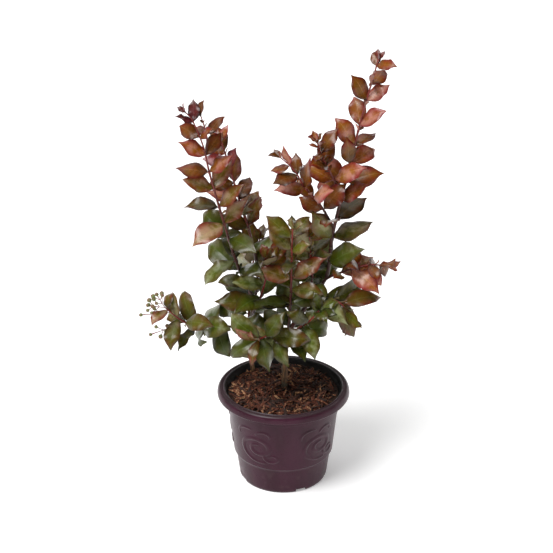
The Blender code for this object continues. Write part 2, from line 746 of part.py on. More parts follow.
def as_mesh(obj, name, group):
    """The curve as a mesh object with its caps welded on."""
    data = finished_mesh(obj)
    shape = bmesh.new()
    shape.from_mesh(data)
    bmesh.ops.remove_doubles(shape, verts=shape.verts, dist=0.000002)
    bmesh.ops.recalc_face_normals(shape, faces=shape.faces)
    shape.to_mesh(data)
    shape.free()
    bpy.data.objects.remove(obj, do_unlink=True)
    made = bpy.data.objects.new(name, data)
    group.objects.link(made)
    return made


def keep_main_body(obj):
    """Drops loose scraps, and the inner surface of a hollow that the join sealed."""
    shape = bmesh.new()
    shape.from_mesh(obj.data)
    unseen = set(shape.faces)
    bodies = []
    while unseen:
        front = [unseen.pop()]
        body = list(front)
        while front:
            near = {other for edge in front.pop().edges for other in edge.link_faces} & unseen
            unseen -= near
            front += near
            body += near
        bodies.append(body)
    bodies.sort(key=len)
    bmesh.ops.delete(shape, geom=[face for body in bodies[:-1] for face in body], context="FACES")
    shape.to_mesh(obj.data)
    shape.free()


def add_shoot(name, stem, blades, sprays, group):
    """One solid: the stem with its leaves and buds joined on."""
    finish = material(name + " leaves", SHOOT_COLOURS.get(name, GREEN), 0.45)
    shoot = as_mesh(add_limb(name + "_stem", *stem, SHOOT_BEVEL, group, finish), name, group)
    joined = collection_named(name + " leaves", hidden=True)
    for number, (rows, up, length) in enumerate(blades):
        verts, faces = lens(rows, up, length)
        mesh_object(f"{name}_leaf_{number}", verts * MM, faces, joined, finish)
    for number, (path, radii) in enumerate(sprays):
        curve = add_limb(f"{name}_curve", path, radii, SHOOT_BEVEL, joined, finish)
        as_mesh(curve, f"{name}_spray_{number}", joined)
    boolean(shoot, "UNION", joined)
    apply_modifiers(shoot)
    for obj in list(joined.objects):
        bpy.data.objects.remove(obj, do_unlink=True)
    bpy.data.collections.remove(joined)
    keep_main_body(shoot)
    return shoot


def build():
    clear_scene()
    group = collection_named("potted crape myrtle")
    add_pot(group)
    add_soil(group)
    nodes = stems()
    crowns = foliage(nodes)
    sprays = bud_sprays(nodes)
    trunk = material("bark", TRUNK_COLOUR, 0.85)
    bough = material("young bark", BOUGH_COLOUR, 0.60)
    for name, stem in nodes.items():
        if name in SHOOTS:
            add_shoot(name, stem, crowns[name], sprays.get(name, []), group)
            continue
        finish = trunk if name in ("trunk", "second_stem") else bough
        add_limb(name, *stem, LIMB_BEVEL, group, finish)


build()
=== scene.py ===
"""Looks of the potted crape myrtle: a moulded pot, bark chips, barked stems and waxy autumn-tinted leaves.

The plant grows by the same seeded rule as its solids, and each leaf and stem is then worked out finer where it
stands. Young leaves are added, and the flower buds spread wider than the solids'. Lengths are in millimetres
until a mesh is made.
"""

import math
import random

import bpy
import numpy as np
from mathutils.bvhtree import BVHTree
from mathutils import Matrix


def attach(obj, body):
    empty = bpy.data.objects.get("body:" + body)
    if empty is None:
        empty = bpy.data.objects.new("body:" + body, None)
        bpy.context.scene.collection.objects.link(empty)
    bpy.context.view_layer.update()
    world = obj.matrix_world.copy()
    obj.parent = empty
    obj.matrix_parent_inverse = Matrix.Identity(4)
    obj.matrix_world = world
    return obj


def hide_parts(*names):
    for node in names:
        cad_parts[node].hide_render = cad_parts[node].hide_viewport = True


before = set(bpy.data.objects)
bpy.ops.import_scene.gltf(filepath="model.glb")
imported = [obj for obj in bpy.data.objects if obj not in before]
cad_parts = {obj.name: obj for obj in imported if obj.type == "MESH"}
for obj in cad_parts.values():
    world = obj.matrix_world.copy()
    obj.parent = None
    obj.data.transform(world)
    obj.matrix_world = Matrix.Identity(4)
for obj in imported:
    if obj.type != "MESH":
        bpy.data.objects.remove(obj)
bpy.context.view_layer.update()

MM = 0.001
GAP = 0.3

# The pot
POT_HEIGHT = 150.4
RIM_RADIUS = 100.0
RIM_SKIRT = 11.5
RIM_ROUND = 9.5
RIM_WALL = 1.8
RIM_FLAT_RADIUS = 95.0
MOUTH_RADIUS = 88.4
COLLAR_RADIUS = 85.3
COLLAR_STEP_RADIUS = 88.6
COLLAR_STEP_HEIGHT = 142.8
LEDGE_HEIGHT = 46.0
LEDGE_RADIUS = 75.7
LEDGE_DEPTH = 3.6
FOOT_RADIUS = 65.2
FOOT_WIDENING = 1.4
WALL = 1.7
FLOOR = 2.0
NOTCHES = 4
NOTCH_TURN = 24
NOTCH_WIDTH = 16.0
NOTCH_HEIGHT = 5.0
NOTCH_REACH = 42.0
CHANNEL_WALL = 1.8
SOIL_LEVEL = 134.8
RIM_KEEP_OUT = (4.0, 2.0, 1.0)  # how far leaves keep below the mix's level, above the rim and outside it

# Stems
PATH_STEP = 12.0
FINE_STEP = 1.4
FLARE_HEIGHT = 7.0
FLARE = 1.5
TRIM_STEP = 0.1
RIM_PLACES = 12

# The rule's coarse blades: shares of the length, and half the width there over the breadth
STATIONS = np.array([0.0, 0.10, 0.36, 0.72, 1.0])
HALF_WIDTHS = np.array([0.03, 0.05, 0.46, 0.42, 0.0])
STALK_ROW = 1
BLADE_ROW = 2
THICKNESS = 1 / 45
BREADTH = (0.50, 0.62)
FOLD = (8, 24)
LIGHT = np.array([-0.25, -0.75, 0.60])
CLEARANCE = 0.7
RETRIES = (  # degrees round the stem and share of the length, tried in turn
    (0, 1.0), (18, 1.0), (-18, 1.0), (36, 0.94), (-36, 0.94),
    (54, 0.86), (-54, 0.86), (12, 0.72), (-12, 0.72),
)
GOLDEN_TURN = 137.5  # degrees from one leaf of a tuft to the next
LAST_SHARE = 0.99  # of the shoot, where its tuft stands
TUFT_DROOP = 0.15

# Young leaves, finer than the rule's: how many are drawn for a tip, and how often a pair is for a leaf's angle.
# One that finds no free place is left out, as most at the tips are.
TIP_LEAVES = 5
TIP_SHARE = 0.985
TIP_LEAF = (7, 15)
ANGLE_STEP = 0.11  # of the shoot's length
ANGLE_SHARE = 0.55
ANGLE_LEAF = (8, 17)
YOUNG_DROOP = 0.3
YOUNG_SLIMMING = 0.8
YOUNG_FOLD = (25, 45)

# Flower buds. A spray's numbers are the share of the shoot where it starts, its direction, length and pairs.
BUD_RADIUS = 2.7
BUD_STALK_RADIUS = 0.55
BUD_SIDE_REACH = 12
BUD_SHOOT = "low_left_shoot"
BUD_SHOOT_BARE = 0.93  # no leaf stands further along it: the flower spray takes the tip
BUD_TURN = 1.2
RULE_BUDS = (  # the solids' sprays, which the leaves keep clear of
    (1.0, (-0.80, -0.25, 0.45), 27, 4), (0.62, (-0.75, -0.45, -0.50), 33, 1),
)
BUDS = (  # these show, spread out like a fan
    (1.0, (-0.40, -0.20, 0.89), 24, 2), (1.0, (-0.90, -0.30, 0.28), 24, 3),
    (0.88, (-0.97, -0.25, 0.03), 42, 1), (0.62, (-0.84, -0.40, -0.16), 52, 2),
)

# Each axis: the axis that bears it, its start, its radius there, and its nodes in turn, each with the radius
# at its end and the places it passes
AXES = {
    "main": (None, (2, 12, 135.3), 4.7, (
        ("trunk", 3.9, ((2, 12, 141), (2, 12, 150), (2, 12, 172), (3, 13, 197), (5, 13, 228))),
        ("right_bough", 2.3, ((25, 14, 262), (42, 16, 291), (64, 20, 324))),
        ("right_leader_shoot", 0.6, ((72, 26, 389), (91, 34, 475), (111, 42, 562), (134, 50, 650))))),
    "second": (None, (-47, 61, 135.3), 3.4, (
        ("second_stem", 2.6,
         ((-47, 61, 141), (-48, 61, 150), (-52, 58, 177), (-53, 53, 215), (-46, 44, 262))),
        ("left_bough", 2.0, ((-50, 36, 292),)),
        ("left_leader_shoot", 0.5, ((-68, 24, 339), (-88, 8, 420), (-105, -4, 494), (-113, -8, 537),
                                    (-127, -12, 577), (-139, -14, 593))))),
    "left_centre": ("second", (-47, 46, 255), 2.1, (
        ("left_centre_bough", 1.9, ((-41, 43, 285), (-39, 44, 312))),
        ("left_centre_shoot", 0.5,
         ((-42, 45, 345), (-53, 47, 393), (-65, 50, 432), (-80, 54, 487), (-91, 56, 524))))),
    "centre": ("main", (4, 13, 219), 2.1, (
        ("centre_bough", 1.7, ((7, 9, 245), (9, 7, 266))),
        ("centre_shoot", 0.5, ((11, 5, 307), (12, 0, 375), (13, -2, 410))))),
    "low_left": ("second", (-53, 54, 211), 2.1, (
        ("low_left_bough", 1.7, ((-66, 48, 220), (-89, 40, 230))),
        ("low_left_shoot", 0.6, ((-126, 26, 233), (-154, 14, 254), (-176, 5, 279))))),
}
# An axis that is one shoot: what bears it, its radius at its start and at its tip, and the places it passes
SIDE_SHOOTS = {
    "right_branch": (
        "main", 1.5, 0.4, ((74, 27, 398), (52, 14, 441), (30, 4, 471), (15, -4, 500), (-5, -9, 522))),
    "upper_sprig": ("main", 1.3, 0.4, ((85, 31, 446), (68, 22, 484), (54, 16, 515), (47, 12, 537))),
    "left_top": ("second", 0.9, 0.4, ((-111, -7, 525), (-108, -8, 545), (-110, -6, 562), (-116, -5, 582))),
    "right_side": (
        "main", 1.6, 0.5, ((60, 19, 318), (74, 15, 327), (93, 8, 338), (123, -2, 352), (152, -7, 352))),
    "low_right": (
        "main", 1.6, 0.6, ((36, 15, 281), (48, 10, 288), (65, 3, 294), (85, -6, 290), (98, -12, 268))),
    "front_low": ("main", 1.6, 0.6, ((3, 13, 208), (-8, -2, 232), (-22, -22, 246), (-36, -42, 250))),
    "front_right": ("main", 1.6, 0.6, ((4, 13, 222), (20, -2, 246), (38, -18, 268), (52, -28, 290))),
    "inner_left": ("second", 1.7, 0.5, ((-49, 48, 243), (-38, 26, 276), (-28, 12, 315), (-22, 4, 358))),
    "inner_right": ("main", 1.7, 0.5, ((38, 16, 284), (42, 25, 312), (40, 28, 350), (38, 24, 385))),
    "back_left": ("second", 1.7, 0.5, ((-53, 55, 205), (-52, 76, 250), (-48, 96, 300), (-36, 106, 345))),
    "back_right": ("main", 1.8, 0.5, ((3, 13, 195), (16, 38, 242), (30, 62, 288), (36, 80, 332))),
}
for side_shoot, (bearer, foot, tip, (first_place, *rest)) in SIDE_SHOOTS.items():
    AXES[side_shoot] = (bearer, first_place, foot, ((side_shoot + "_shoot", tip, rest),))

# Where a shoot's own numbers leave one out
STYLE = dict(
    bare=0.0, crowd=1.1, first=0, turn=60, leaf=(54, 42), spread=(60, 42), droop=(30, 8), lit=0.7,
    tumble=0.25, tuft=3, tints=((2, "copper"),))
# A shoot's leaves: a seed for each pair and the last for its tuft, and the tint that each spray of leaves
# takes, from the shoot's foot up to a share of its length
SHOOTS = {
    "right_leader_shoot": dict(
        leaf=(64, 32), droop=(20, 0), first=-40, turn=50,
        seeds=(735, 124, 495, 516, 122, 699, 570, 568, 857, 106, 647, 881),
        tints=((0.11, "green"), (0.22, "olive"), (0.30, "bronze"), (0.95, "copper"), (2, "wine"))),
    "left_leader_shoot": dict(
        leaf=(70, 30), spread=(68, 46), droop=(38, 0), bare=0.04, first=-40, turn=90,
        seeds=(520, 535, 364, 344, 871, 276, 36, 309, 138, 353, 489),
        tints=((0.35, "green"), (0.62, "bronze"), (0.93, "copper"), (2, "wine"))),
    "left_centre_shoot": dict(
        leaf=(58, 36), droop=(20, 0), first=40, turn=80,
        seeds=(824, 731, 243, 929, 946, 658, 676, 761, 914),
        tints=((0.15, "olive"), (0.30, "green"), (0.50, "bronze"), (0.75, "copper"), (0.85, "wine"),
               (2, "copper"))),
    "centre_shoot": dict(
        leaf=(54, 42), droop=(25, 5), first=10, turn=80,
        seeds=(136, 369, 100, 92, 267, 416, 125),
        tints=((0.20, "green"), (0.35, "olive"), (0.50, "bronze"), (2, "olive"))),
    "low_left_shoot": dict(
        leaf=(62, 38), spread=(65, 50), droop=(55, 20), first=-10,
        seeds=(400, 395, 232, 213, 405, 526, 356),
        tints=((0.38, "green"), (0.84, "olive"), (2, "bronze"))),
    "right_branch_shoot": dict(
        leaf=(56, 32), droop=(15, 0), bare=0.12, first=10, turn=90,
        seeds=(88, 618, 359, 395, 215, 361)),
    "upper_sprig_shoot": dict(
        leaf=(52, 38), droop=(15, 0), bare=0.15, first=20, turn=90,
        seeds=(281, 309, 944, 125)),
    "left_top_shoot": dict(
        leaf=(34, 36), bare=0.2, tuft=2, first=10, turn=70, seeds=(890, 746)),
    "right_side_shoot": dict(
        leaf=(54, 38), droop=(35, 10), bare=0.08, first=30,
        seeds=(826, 10, 944, 377, 592, 612),
        tints=((0.30, "bronze"), (2, "copper"))),
    "low_right_shoot": dict(
        leaf=(60, 50), droop=(35, 25), bare=0.1, first=40, seeds=(9, 309, 958, 986, 932),
        tints=((0.30, "green"), (0.50, "olive"), (0.72, "bronze"), (2, "olive"))),
    "front_low_shoot": dict(
        leaf=(58, 48), droop=(50, 30), turn=70, bare=0.1, first=40,
        seeds=(913, 559, 258, 22, 233, 212),
        tints=((0.40, "green"), (0.70, "olive"), (0.90, "green"), (2, "bronze"))),
    "front_right_shoot": dict(
        leaf=(56, 44), droop=(40, 20), turn=90, bare=0.12, first=10,
        seeds=(121, 584, 316, 990, 879), tints=((0.55, "green"), (0.80, "olive"), (2, "green"))),
    "inner_left_shoot": dict(
        leaf=(54, 44), bare=0.12, first=30, seeds=(624, 658, 516, 857, 270, 894),
        tints=((0.30, "olive"), (0.70, "green"), (2, "bronze"))),
    "inner_right_shoot": dict(
        leaf=(52, 42), turn=80, bare=0.12, seeds=(152, 395, 801, 658, 231, 715),
        tints=((0.45, "green"), (0.85, "olive"), (2, "bronze"))),
    "back_left_shoot": dict(
        turn=90, bare=0.1, first=40, seeds=(400, 177, 321, 233, 633, 885, 271),
        tints=((0.40, "green"), (0.70, "olive"), (2, "bronze"))),
    "back_right_shoot": dict(
        turn=80, bare=0.1, first=-10, seeds=(578, 667, 55, 281, 296, 244, 327),
        tints=((0.60, "green"), (2, "olive"))),
}
STYLES = {shoot: {**STYLE, **own} for shoot, own in SHOOTS.items()}


# Paths: the rule of the solids

def unit(vector):
    return vector / np.linalg.norm(vector)


def smooth(route, step=PATH_STEP):
    """Points along a Catmull-Rom curve through the route, and which of them are the route's own."""
    route = np.array(route, float)
    ends = np.vstack([2 * route[0] - route[1], route, 2 * route[-1] - route[-2]])
    path, marks = [], [0]
    for a, b, c, d in zip(ends, ends[1:], ends[2:], ends[3:]):
        count = max(2, round(np.linalg.norm(c - b) / step))
        t = np.arange(count)[:, None] / count
        cubic = (3 * b - a - 3 * c + d) * t**3
        path.append(0.5 * (2 * b + (c - a) * t + (2 * a - 5 * b + 4 * c - d) * t**2 + cubic))
        marks.append(marks[-1] + count)
    return np.vstack([*path, route[-1:]]), marks


def reaches(path):
    """Each point's distance along the path."""
    return np.concatenate([[0.0], np.cumsum(np.linalg.norm(np.diff(path, axis=0), axis=1))])


def tapered(path, start, end):
    """The radii along a path, from its start's to its end's in step with the reach."""
    reach = reaches(path)
    return start + (end - start) * reach / reach[-1]


def along(path, share):
    """The place and the direction at a share of the path's length."""
    reach = reaches(path)
    want = share * reach[-1]
    i = min(max(int(np.searchsorted(reach, want)) - 1, 0), len(path) - 2)
    step = path[i + 1] - path[i]
    return path[i] + step * (want - reach[i]) / (reach[i + 1] - reach[i]), unit(step)


def onto_segments(path, place):
    """The closest place on each of the path's segments, and the share of the segment there."""
    step = np.diff(path, axis=0)
    share = np.clip(((place - path[:-1]) * step).sum(axis=1) / (step**2).sum(axis=1), 0, 1)
    return path[:-1] + share[:, None] * step, share


def nearest(path, place):
    spots, _ = onto_segments(path, place)
    return spots[np.argmin(np.linalg.norm(spots - place, axis=1))]


def clearance_from(path, radii, place):
    """How far a place is outside the tube round a path."""
    spots, share = onto_segments(path, place)
    radius = radii[:-1] + (radii[1:] - radii[:-1]) * share
    return (np.linalg.norm(spots - place, axis=1) - radius).min()


def heading(ahead, turn):
    """The direction square to `ahead` at an angle round it, from +X."""
    right = unit(np.array([1.0, 0.0, 0.0]) - ahead * ahead[0])
    return math.cos(turn) * right + math.sin(turn) * np.cross(ahead, right)


def ring(ahead, count):
    return np.array([heading(ahead, 2 * math.pi * i / count) for i in range(count)])


def trimmed(path, radii, clearance):
    """The path with its start moved on until the whole of the tube's end has its gap."""
    reach = reaches(path)
    for start in np.arange(0.0, reach[-1] / 2, TRIM_STEP):
        place, ahead = along(path, start / reach[-1])
        radius = np.interp(start, reach, radii)
        if all(clearance(spot) >= GAP for spot in place + radius * ring(ahead, RIM_PLACES)):
            break
    rest = reach > start + 1.0
    return np.vstack([place, path[rest]]), np.concatenate([[radius], radii[rest]])


def stems():
    """{node: (path, radii)} as the solids have them, and the same finer and grown into what bears them."""
    axes, nodes, grown = {}, {}, {}
    for name, (bearer, start, radius, parts) in AXES.items():
        if bearer:
            start = nearest(axes[bearer][0], np.array(start, float))
        route = [start] + [place for _, _, places in parts for place in places]
        path, marks = smooth(route)
        fine, fine_marks = smooth(route, FINE_STEP)
        radii = np.empty(len(path))
        mark = 0
        for node, end_radius, places in parts:
            last_mark = mark + len(places)
            first, last = marks[mark], marks[last_mark]
            piece_path = path[first:last + 1]
            widths = tapered(piece_path, radius, end_radius)
            radii[first:last + 1] = widths
            skin = fine[fine_marks[mark]:fine_marks[last_mark] + 1]
            grown[node] = (skin, tapered(skin, radius, end_radius))
            if first:
                end, ahead = path[first], unit(path[first] - path[first - 1])
                nodes[node] = trimmed(piece_path, widths, lambda spot: (spot - end) @ ahead)
            elif bearer:
                nodes[node] = trimmed(piece_path, widths, lambda spot: clearance_from(*axes[bearer], spot))
            else:
                foot = (FLARE - 1) * np.exp(-(reaches(piece_path) / FLARE_HEIGHT) ** 1.5)
                nodes[node] = (piece_path, widths * (1 + foot))
            mark, radius = last_mark, end_radius
        axes[name] = (path, radii)
    return nodes, grown


def tube(path, radii, sides=6):
    """Rings of places round a path, joined by triangles."""
    tangents = np.gradient(path, axis=0)
    rings = np.vstack([
        place + radius * ring(unit(tangent), sides) for place, radius, tangent in zip(path, radii, tangents)
    ])
    faces = []
    for i in range(len(path) - 1):
        for j in range(sides):
            a, b = i * sides + j, i * sides + (j + 1) % sides
            faces += [(a, b, b + sides), (a, b + sides, a + sides)]
    return rings, faces


# Leaves: the rule of the solids

def mix(pair, share):
    return pair[0] + (pair[1] - pair[0]) * share


def swung(first, second, angle):
    """Two square directions turned in their plane: cos(a) f + sin(a) s, and cos(a) s - sin(a) f."""
    cos, sin = np.cos(angle)[..., None], np.sin(angle)[..., None]
    return cos * first + sin * second, cos * second - sin * first


def drawn_leaf(rng, share, path, turn, length, spread, droop):
    """One leaf's numbers. The order of the draws is part of the rule."""
    at, ahead = along(path, min(share, LAST_SHARE))
    return {
        "share": share, "at": at, "stem": ahead, "turn": turn, "length": length, "spread": spread,
        "droop": droop,
        "stray": np.array([rng.uniform(-1, 1) for _ in range(3)]),
        "breadth": rng.uniform(*BREADTH),
        "fold": math.radians(rng.uniform(*FOLD)),
        "young": False,
    }


def pair_of_leaves(path, style, number, seed):
    rng = random.Random(seed)
    count = len(style["seeds"]) - 1
    share = (number + 0.6 + rng.uniform(-0.2, 0.2)) / (count + 0.4)
    share = style["bare"] + (1 - style["bare"]) * (1 - (1 - share) ** style["crowd"])
    base = style["first"] + number * style["turn"] + rng.uniform(-30, 30)
    leaves = []
    for side in (0, 180):
        turn = math.radians(base + side + rng.uniform(-20, 20))
        length = mix(style["leaf"], share) * rng.uniform(0.80, 1.20)
        spread = math.radians(mix(style["spread"], share) + rng.uniform(-18, 18))
        droop = math.radians(mix(style["droop"], share) + rng.uniform(-20, 25))
        leaves.append(drawn_leaf(rng, share, path, turn, length, spread, droop))
    return leaves


def tuft_of_leaves(path, style, seed):
    rng = random.Random(seed)
    first = rng.uniform(0, 360)
    leaves = []
    for number in range(style["tuft"]):
        turn = math.radians(first + number * GOLDEN_TURN)
        length = style["leaf"][1] * rng.uniform(0.5, 0.8)
        spread = math.radians(rng.uniform(18, 42))
        leaves.append(drawn_leaf(rng, LAST_SHARE, path, turn, length, spread, TUFT_DROOP))
    return leaves


def stance(leaf, style, turned_by, scale):
    """A leaf's directions ahead, up from its face and to its side, and its length."""
    stem, turn = leaf["stem"], leaf["turn"] + math.radians(turned_by)
    ahead = math.cos(leaf["spread"]) * stem + math.sin(leaf["spread"]) * heading(stem, turn)
    own = unit(stem - ahead * (ahead @ stem))
    face = own * (1 - style["lit"]) + LIGHT * style["lit"] + leaf["stray"] * style["tumble"]
    face = unit(face - ahead * (face @ ahead))
    return {"ahead": ahead, "face": face, "side": np.cross(ahead, face), "length": leaf["length"] * scale}


def blade(leaf):
    """Rows of left edge, midrib and right edge from root to tip, each row's way up, and the length."""
    length = leaf["length"]
    up, tangent = swung(leaf["face"], leaf["ahead"], leaf["droop"] * STATIONS**1.3)
    steps = tangent[:-1] + tangent[1:]
    steps *= (np.diff(STATIONS) * length / np.linalg.norm(steps, axis=1))[:, None]
    midrib = leaf["at"] + np.vstack([np.zeros(3), np.cumsum(steps, axis=0)])
    half = (HALF_WIDTHS * length * leaf["breadth"])[:, None]
    lift = up * half * math.sin(leaf["fold"])
    out = leaf["side"] * half * math.cos(leaf["fold"])
    return np.stack([midrib - out + lift, midrib, midrib + out + lift], axis=1), up, length


def lens(rows, up, length, first=0, grown=0.0):
    """A closed blade, thick at the midrib and sharp at the edges, from a row to the tip."""
    half = up[first:-1] * (length * THICKNESS / 2 + grown)
    across = rows[first:-1, 2] - rows[first:-1, 0]
    across *= grown / np.linalg.norm(across, axis=1)[:, None]
    left, middle, right = (rows[first:-1, i] for i in range(3))
    verts = np.stack([left - across, middle + half, right + across, middle - half], axis=1)
    tip = rows[-1, 1] + unit(rows[-1, 1] - rows[-2, 1]) * grown
    count = len(left)
    faces = [(3, 2, 1, 0)]
    for i in range(count - 1):
        for j in range(4):
            a, b = 4 * i + j, 4 * i + (j + 1) % 4
            faces.append((a, b, b + 4, a + 4))
    last = 4 * (count - 1)
    faces += [(last + j, last + (j + 1) % 4, 4 * count) for j in range(4)]
    return np.vstack([verts.reshape(-1, 3), tip]), faces


class Standing:
    """What already stands: stems, blades and the pot's rim, each with the node that owns it."""

    def __init__(self):
        self.pieces = []

    def add(self, owner, verts, faces):
        tree = BVHTree.FromPolygons(verts, faces)
        self.pieces.append((owner, verts.min(axis=0), verts.max(axis=0), tree))

    def touched(self, own, verts, faces, owner):
        """Whether a piece touches one of its own node, or with `own` False one of another's."""
        low, high = verts.min(axis=0), verts.max(axis=0)
        tree = None
        for name, least, most, other in self.pieces:
            if (name == owner) != own or (least > high).any() or (most < low).any():
                continue
            tree = tree or BVHTree.FromPolygons(verts, faces)
            if tree.overlap(other):
                return True
        return False


def standing_limbs(nodes, buds):
    """The stems, the pot's rim with some room round it, and the flower sprays."""
    standing = Standing()
    for node, (path, radii) in nodes.items():
        standing.add(node, *tube(path, radii))
    below, above, outside = RIM_KEEP_OUT
    top = POT_HEIGHT + above
    rim = np.array([[0, 0, SOIL_LEVEL - below], [0, 0, top], [0, 0, top + 0.1]])
    wide = RIM_RADIUS + outside
    standing.add("pot", *tube(rim, [wide, wide, 1.0], 24))
    turn = np.linspace(0, math.pi, 5)
    for foot, end, centre, way in buds:
        stalk = np.array([foot, end + way * BUD_RADIUS * 0.5])
        standing.add(BUD_SHOOT, *tube(stalk, np.full(2, BUD_STALK_RADIUS)))
        bud = centre - way * np.cos(turn)[:, None] * BUD_RADIUS
        standing.add(BUD_SHOOT, *tube(bud, np.maximum(np.sin(turn) * BUD_RADIUS, 0.08)))
    return standing


def placed(leaf, style, shoot, standing):
    """The leaf as it stands at the first turn and size at which it touches nothing, or None."""
    for turned_by, scale in RETRIES:
        found = {**leaf, **stance(leaf, style, turned_by, scale), "shoot": shoot}
        rows = blade(found)
        outer, whole = (lens(*rows, first, CLEARANCE) for first in (BLADE_ROW, STALK_ROW))
        if standing.touched(True, *outer, shoot) or standing.touched(False, *whole, shoot):
            continue
        standing.add(shoot, *lens(*rows, STALK_ROW))
        return found
    return None


def bud_sprays(nodes, sprays):
    """The flower sprays: each stalk's foot and end, its bud's centre and the stalk's direction."""
    stalks = []
    for share, way, length, pairs in sprays:
        at, _ = along(nodes[BUD_SHOOT][0], share)
        way = unit(np.array(way))
        stalks.append((at, at + way * length))
        for number in range(pairs):
            node = at + way * length * (0.35 + 0.6 * number / pairs)
            reach = BUD_SIDE_REACH * (1 - 0.5 * number / pairs)
            for side in (0, math.pi):
                out = heading(way, BUD_TURN + number * math.pi / 2 + side)
                stalks.append((node, node + unit(way + out) * reach))
    return [(foot, end, end + unit(end - foot) * BUD_RADIUS, unit(end - foot)) for foot, end in stalks]


def young_leaves(path, shoot):
    """Small folded leaves, before they find a place: some for the tip, and pairs for some of the leaf angles."""
    rng = random.Random(shoot)
    drawn = []
    for number in range(TIP_LEAVES):
        turn = math.radians(number * GOLDEN_TURN + rng.uniform(-20, 20))
        spread = math.radians(rng.uniform(8, 30))
        drawn.append(drawn_leaf(rng, TIP_SHARE, path, turn, rng.uniform(*TIP_LEAF), spread, YOUNG_DROOP))
    for share in np.arange(0.12, 0.93, ANGLE_STEP):
        if rng.random() > ANGLE_SHARE:
            continue
        base = rng.uniform(0, 360)
        for side in (0, 180):
            spread = math.radians(rng.uniform(28, 55))
            turn = math.radians(base + side)
            drawn.append(drawn_leaf(rng, share, path, turn, rng.uniform(*ANGLE_LEAF), spread, YOUNG_DROOP))
    for leaf in drawn:
        leaf["breadth"] *= YOUNG_SLIMMING
        leaf["fold"] = math.radians(rng.uniform(*YOUNG_FOLD))
        leaf["young"] = True
    return drawn


def foliage(nodes, buds):
    """Every leaf of the rule as it stands, then the youngest leaves, which stand more upright."""
    standing = standing_limbs(nodes, buds)
    leaves = []
    for shoot, style in STYLES.items():
        path = nodes[shoot][0]
        *seeds, tuft_seed = style["seeds"]
        pairs = [pair_of_leaves(path, style, number, seed) for number, seed in enumerate(seeds)]
        drawn = sum(pairs, []) + tuft_of_leaves(path, style, tuft_seed)
        leaves += [placed(leaf, style, shoot, standing) for leaf in drawn]
    for shoot, style in STYLES.items():
        upright = {**style, "lit": 0.25, "tumble": 0.2}
        leaves += [placed(leaf, upright, shoot, standing) for leaf in young_leaves(nodes[shoot][0], shoot)]
    in_flower = lambda leaf: leaf["shoot"] == BUD_SHOOT and leaf["share"] >= BUD_SHOOT_BARE
    return [leaf for leaf in leaves if leaf and not in_flower(leaf)]


# Meshes

def turns(count):
    """Angles evenly round a circle."""
    return np.arange(count) * 2 * np.pi / count


def lathed(radius, height, count):
    """Rings round Z, (r cos a, r sin a, z), from each row's radius and height."""
    radius, height, turn = np.broadcast_arrays(radius, height, turns(count))
    return np.stack([radius * np.cos(turn), radius * np.sin(turn), height], axis=-1)


def rings_round(middle, radius, right, up):
    """Rings round each middle: m + r (cos(a) right + sin(a) up)."""
    turn = turns(radius.shape[-1])[:, None]
    way = np.cos(turn) * right[..., None, :] + np.sin(turn) * up[..., None, :]
    return middle[..., None, :] + radius[..., None] * way


def grid_faces(rows, columns):
    """Corners of the four-sided faces of a grid of rows whose columns close in a ring."""
    i = np.arange(rows - 1)[:, None] * columns
    j = np.arange(columns)[None, :]
    k = (j + 1) % columns
    return np.stack([i + j, i + k, i + columns + k, i + columns + j], axis=-1).reshape(-1, 4)


def shells(rings, starts, ends):
    """Closed skins that face out, from rings (count, rows, columns, 3) drawn to a point before and after."""
    rings = rings.reshape(-1, *rings.shape[-3:])
    count, rows, columns, _ = rings.shape
    each = rows * columns + 2
    points = [np.reshape(places, (count, 1, 3)) for places in (starts, ends)]
    verts = np.concatenate([rings.reshape(count, -1, 3), *points], axis=1).reshape(-1, 3)
    here = np.arange(columns)
    after = np.roll(here, -1)
    last = (rows - 1) * columns
    caps = np.concatenate([np.stack([np.full(columns, each - 2), after, here], axis=-1),
                           np.stack([last + here, last + after, np.full(columns, each - 1)], axis=-1)])
    move = (np.arange(count) * each)[:, None, None]
    quads = (grid_faces(rows, columns) + move).reshape(-1, 4)
    caps = (caps + move).reshape(-1, 3)
    way = -1 if volume(verts, quads, caps) < 0 else 1
    return verts, quads[:, ::way], caps[:, ::way]


def joined(skins):
    """Several (verts, quads, triangles) as one."""
    moves = np.cumsum([0] + [len(verts) for verts, _, _ in skins[:-1]])
    verts = np.concatenate([skin[0] for skin in skins])
    quads, triangles = (np.concatenate([skin[i] + move for skin, move in zip(skins, moves)]) for i in (1, 2))
    return verts, quads, triangles


def volume(verts, quads, triangles):
    """Six times the enclosed volume: the sum of a . (b x c) over the triangles, below zero if inside out."""
    corners = np.concatenate([quads[:, [0, 1, 2]], quads[:, [0, 2, 3]], triangles])
    a, b, c = (verts[corners[:, i]] for i in range(3))
    return np.einsum("ij,ij->", a, np.cross(b, c))


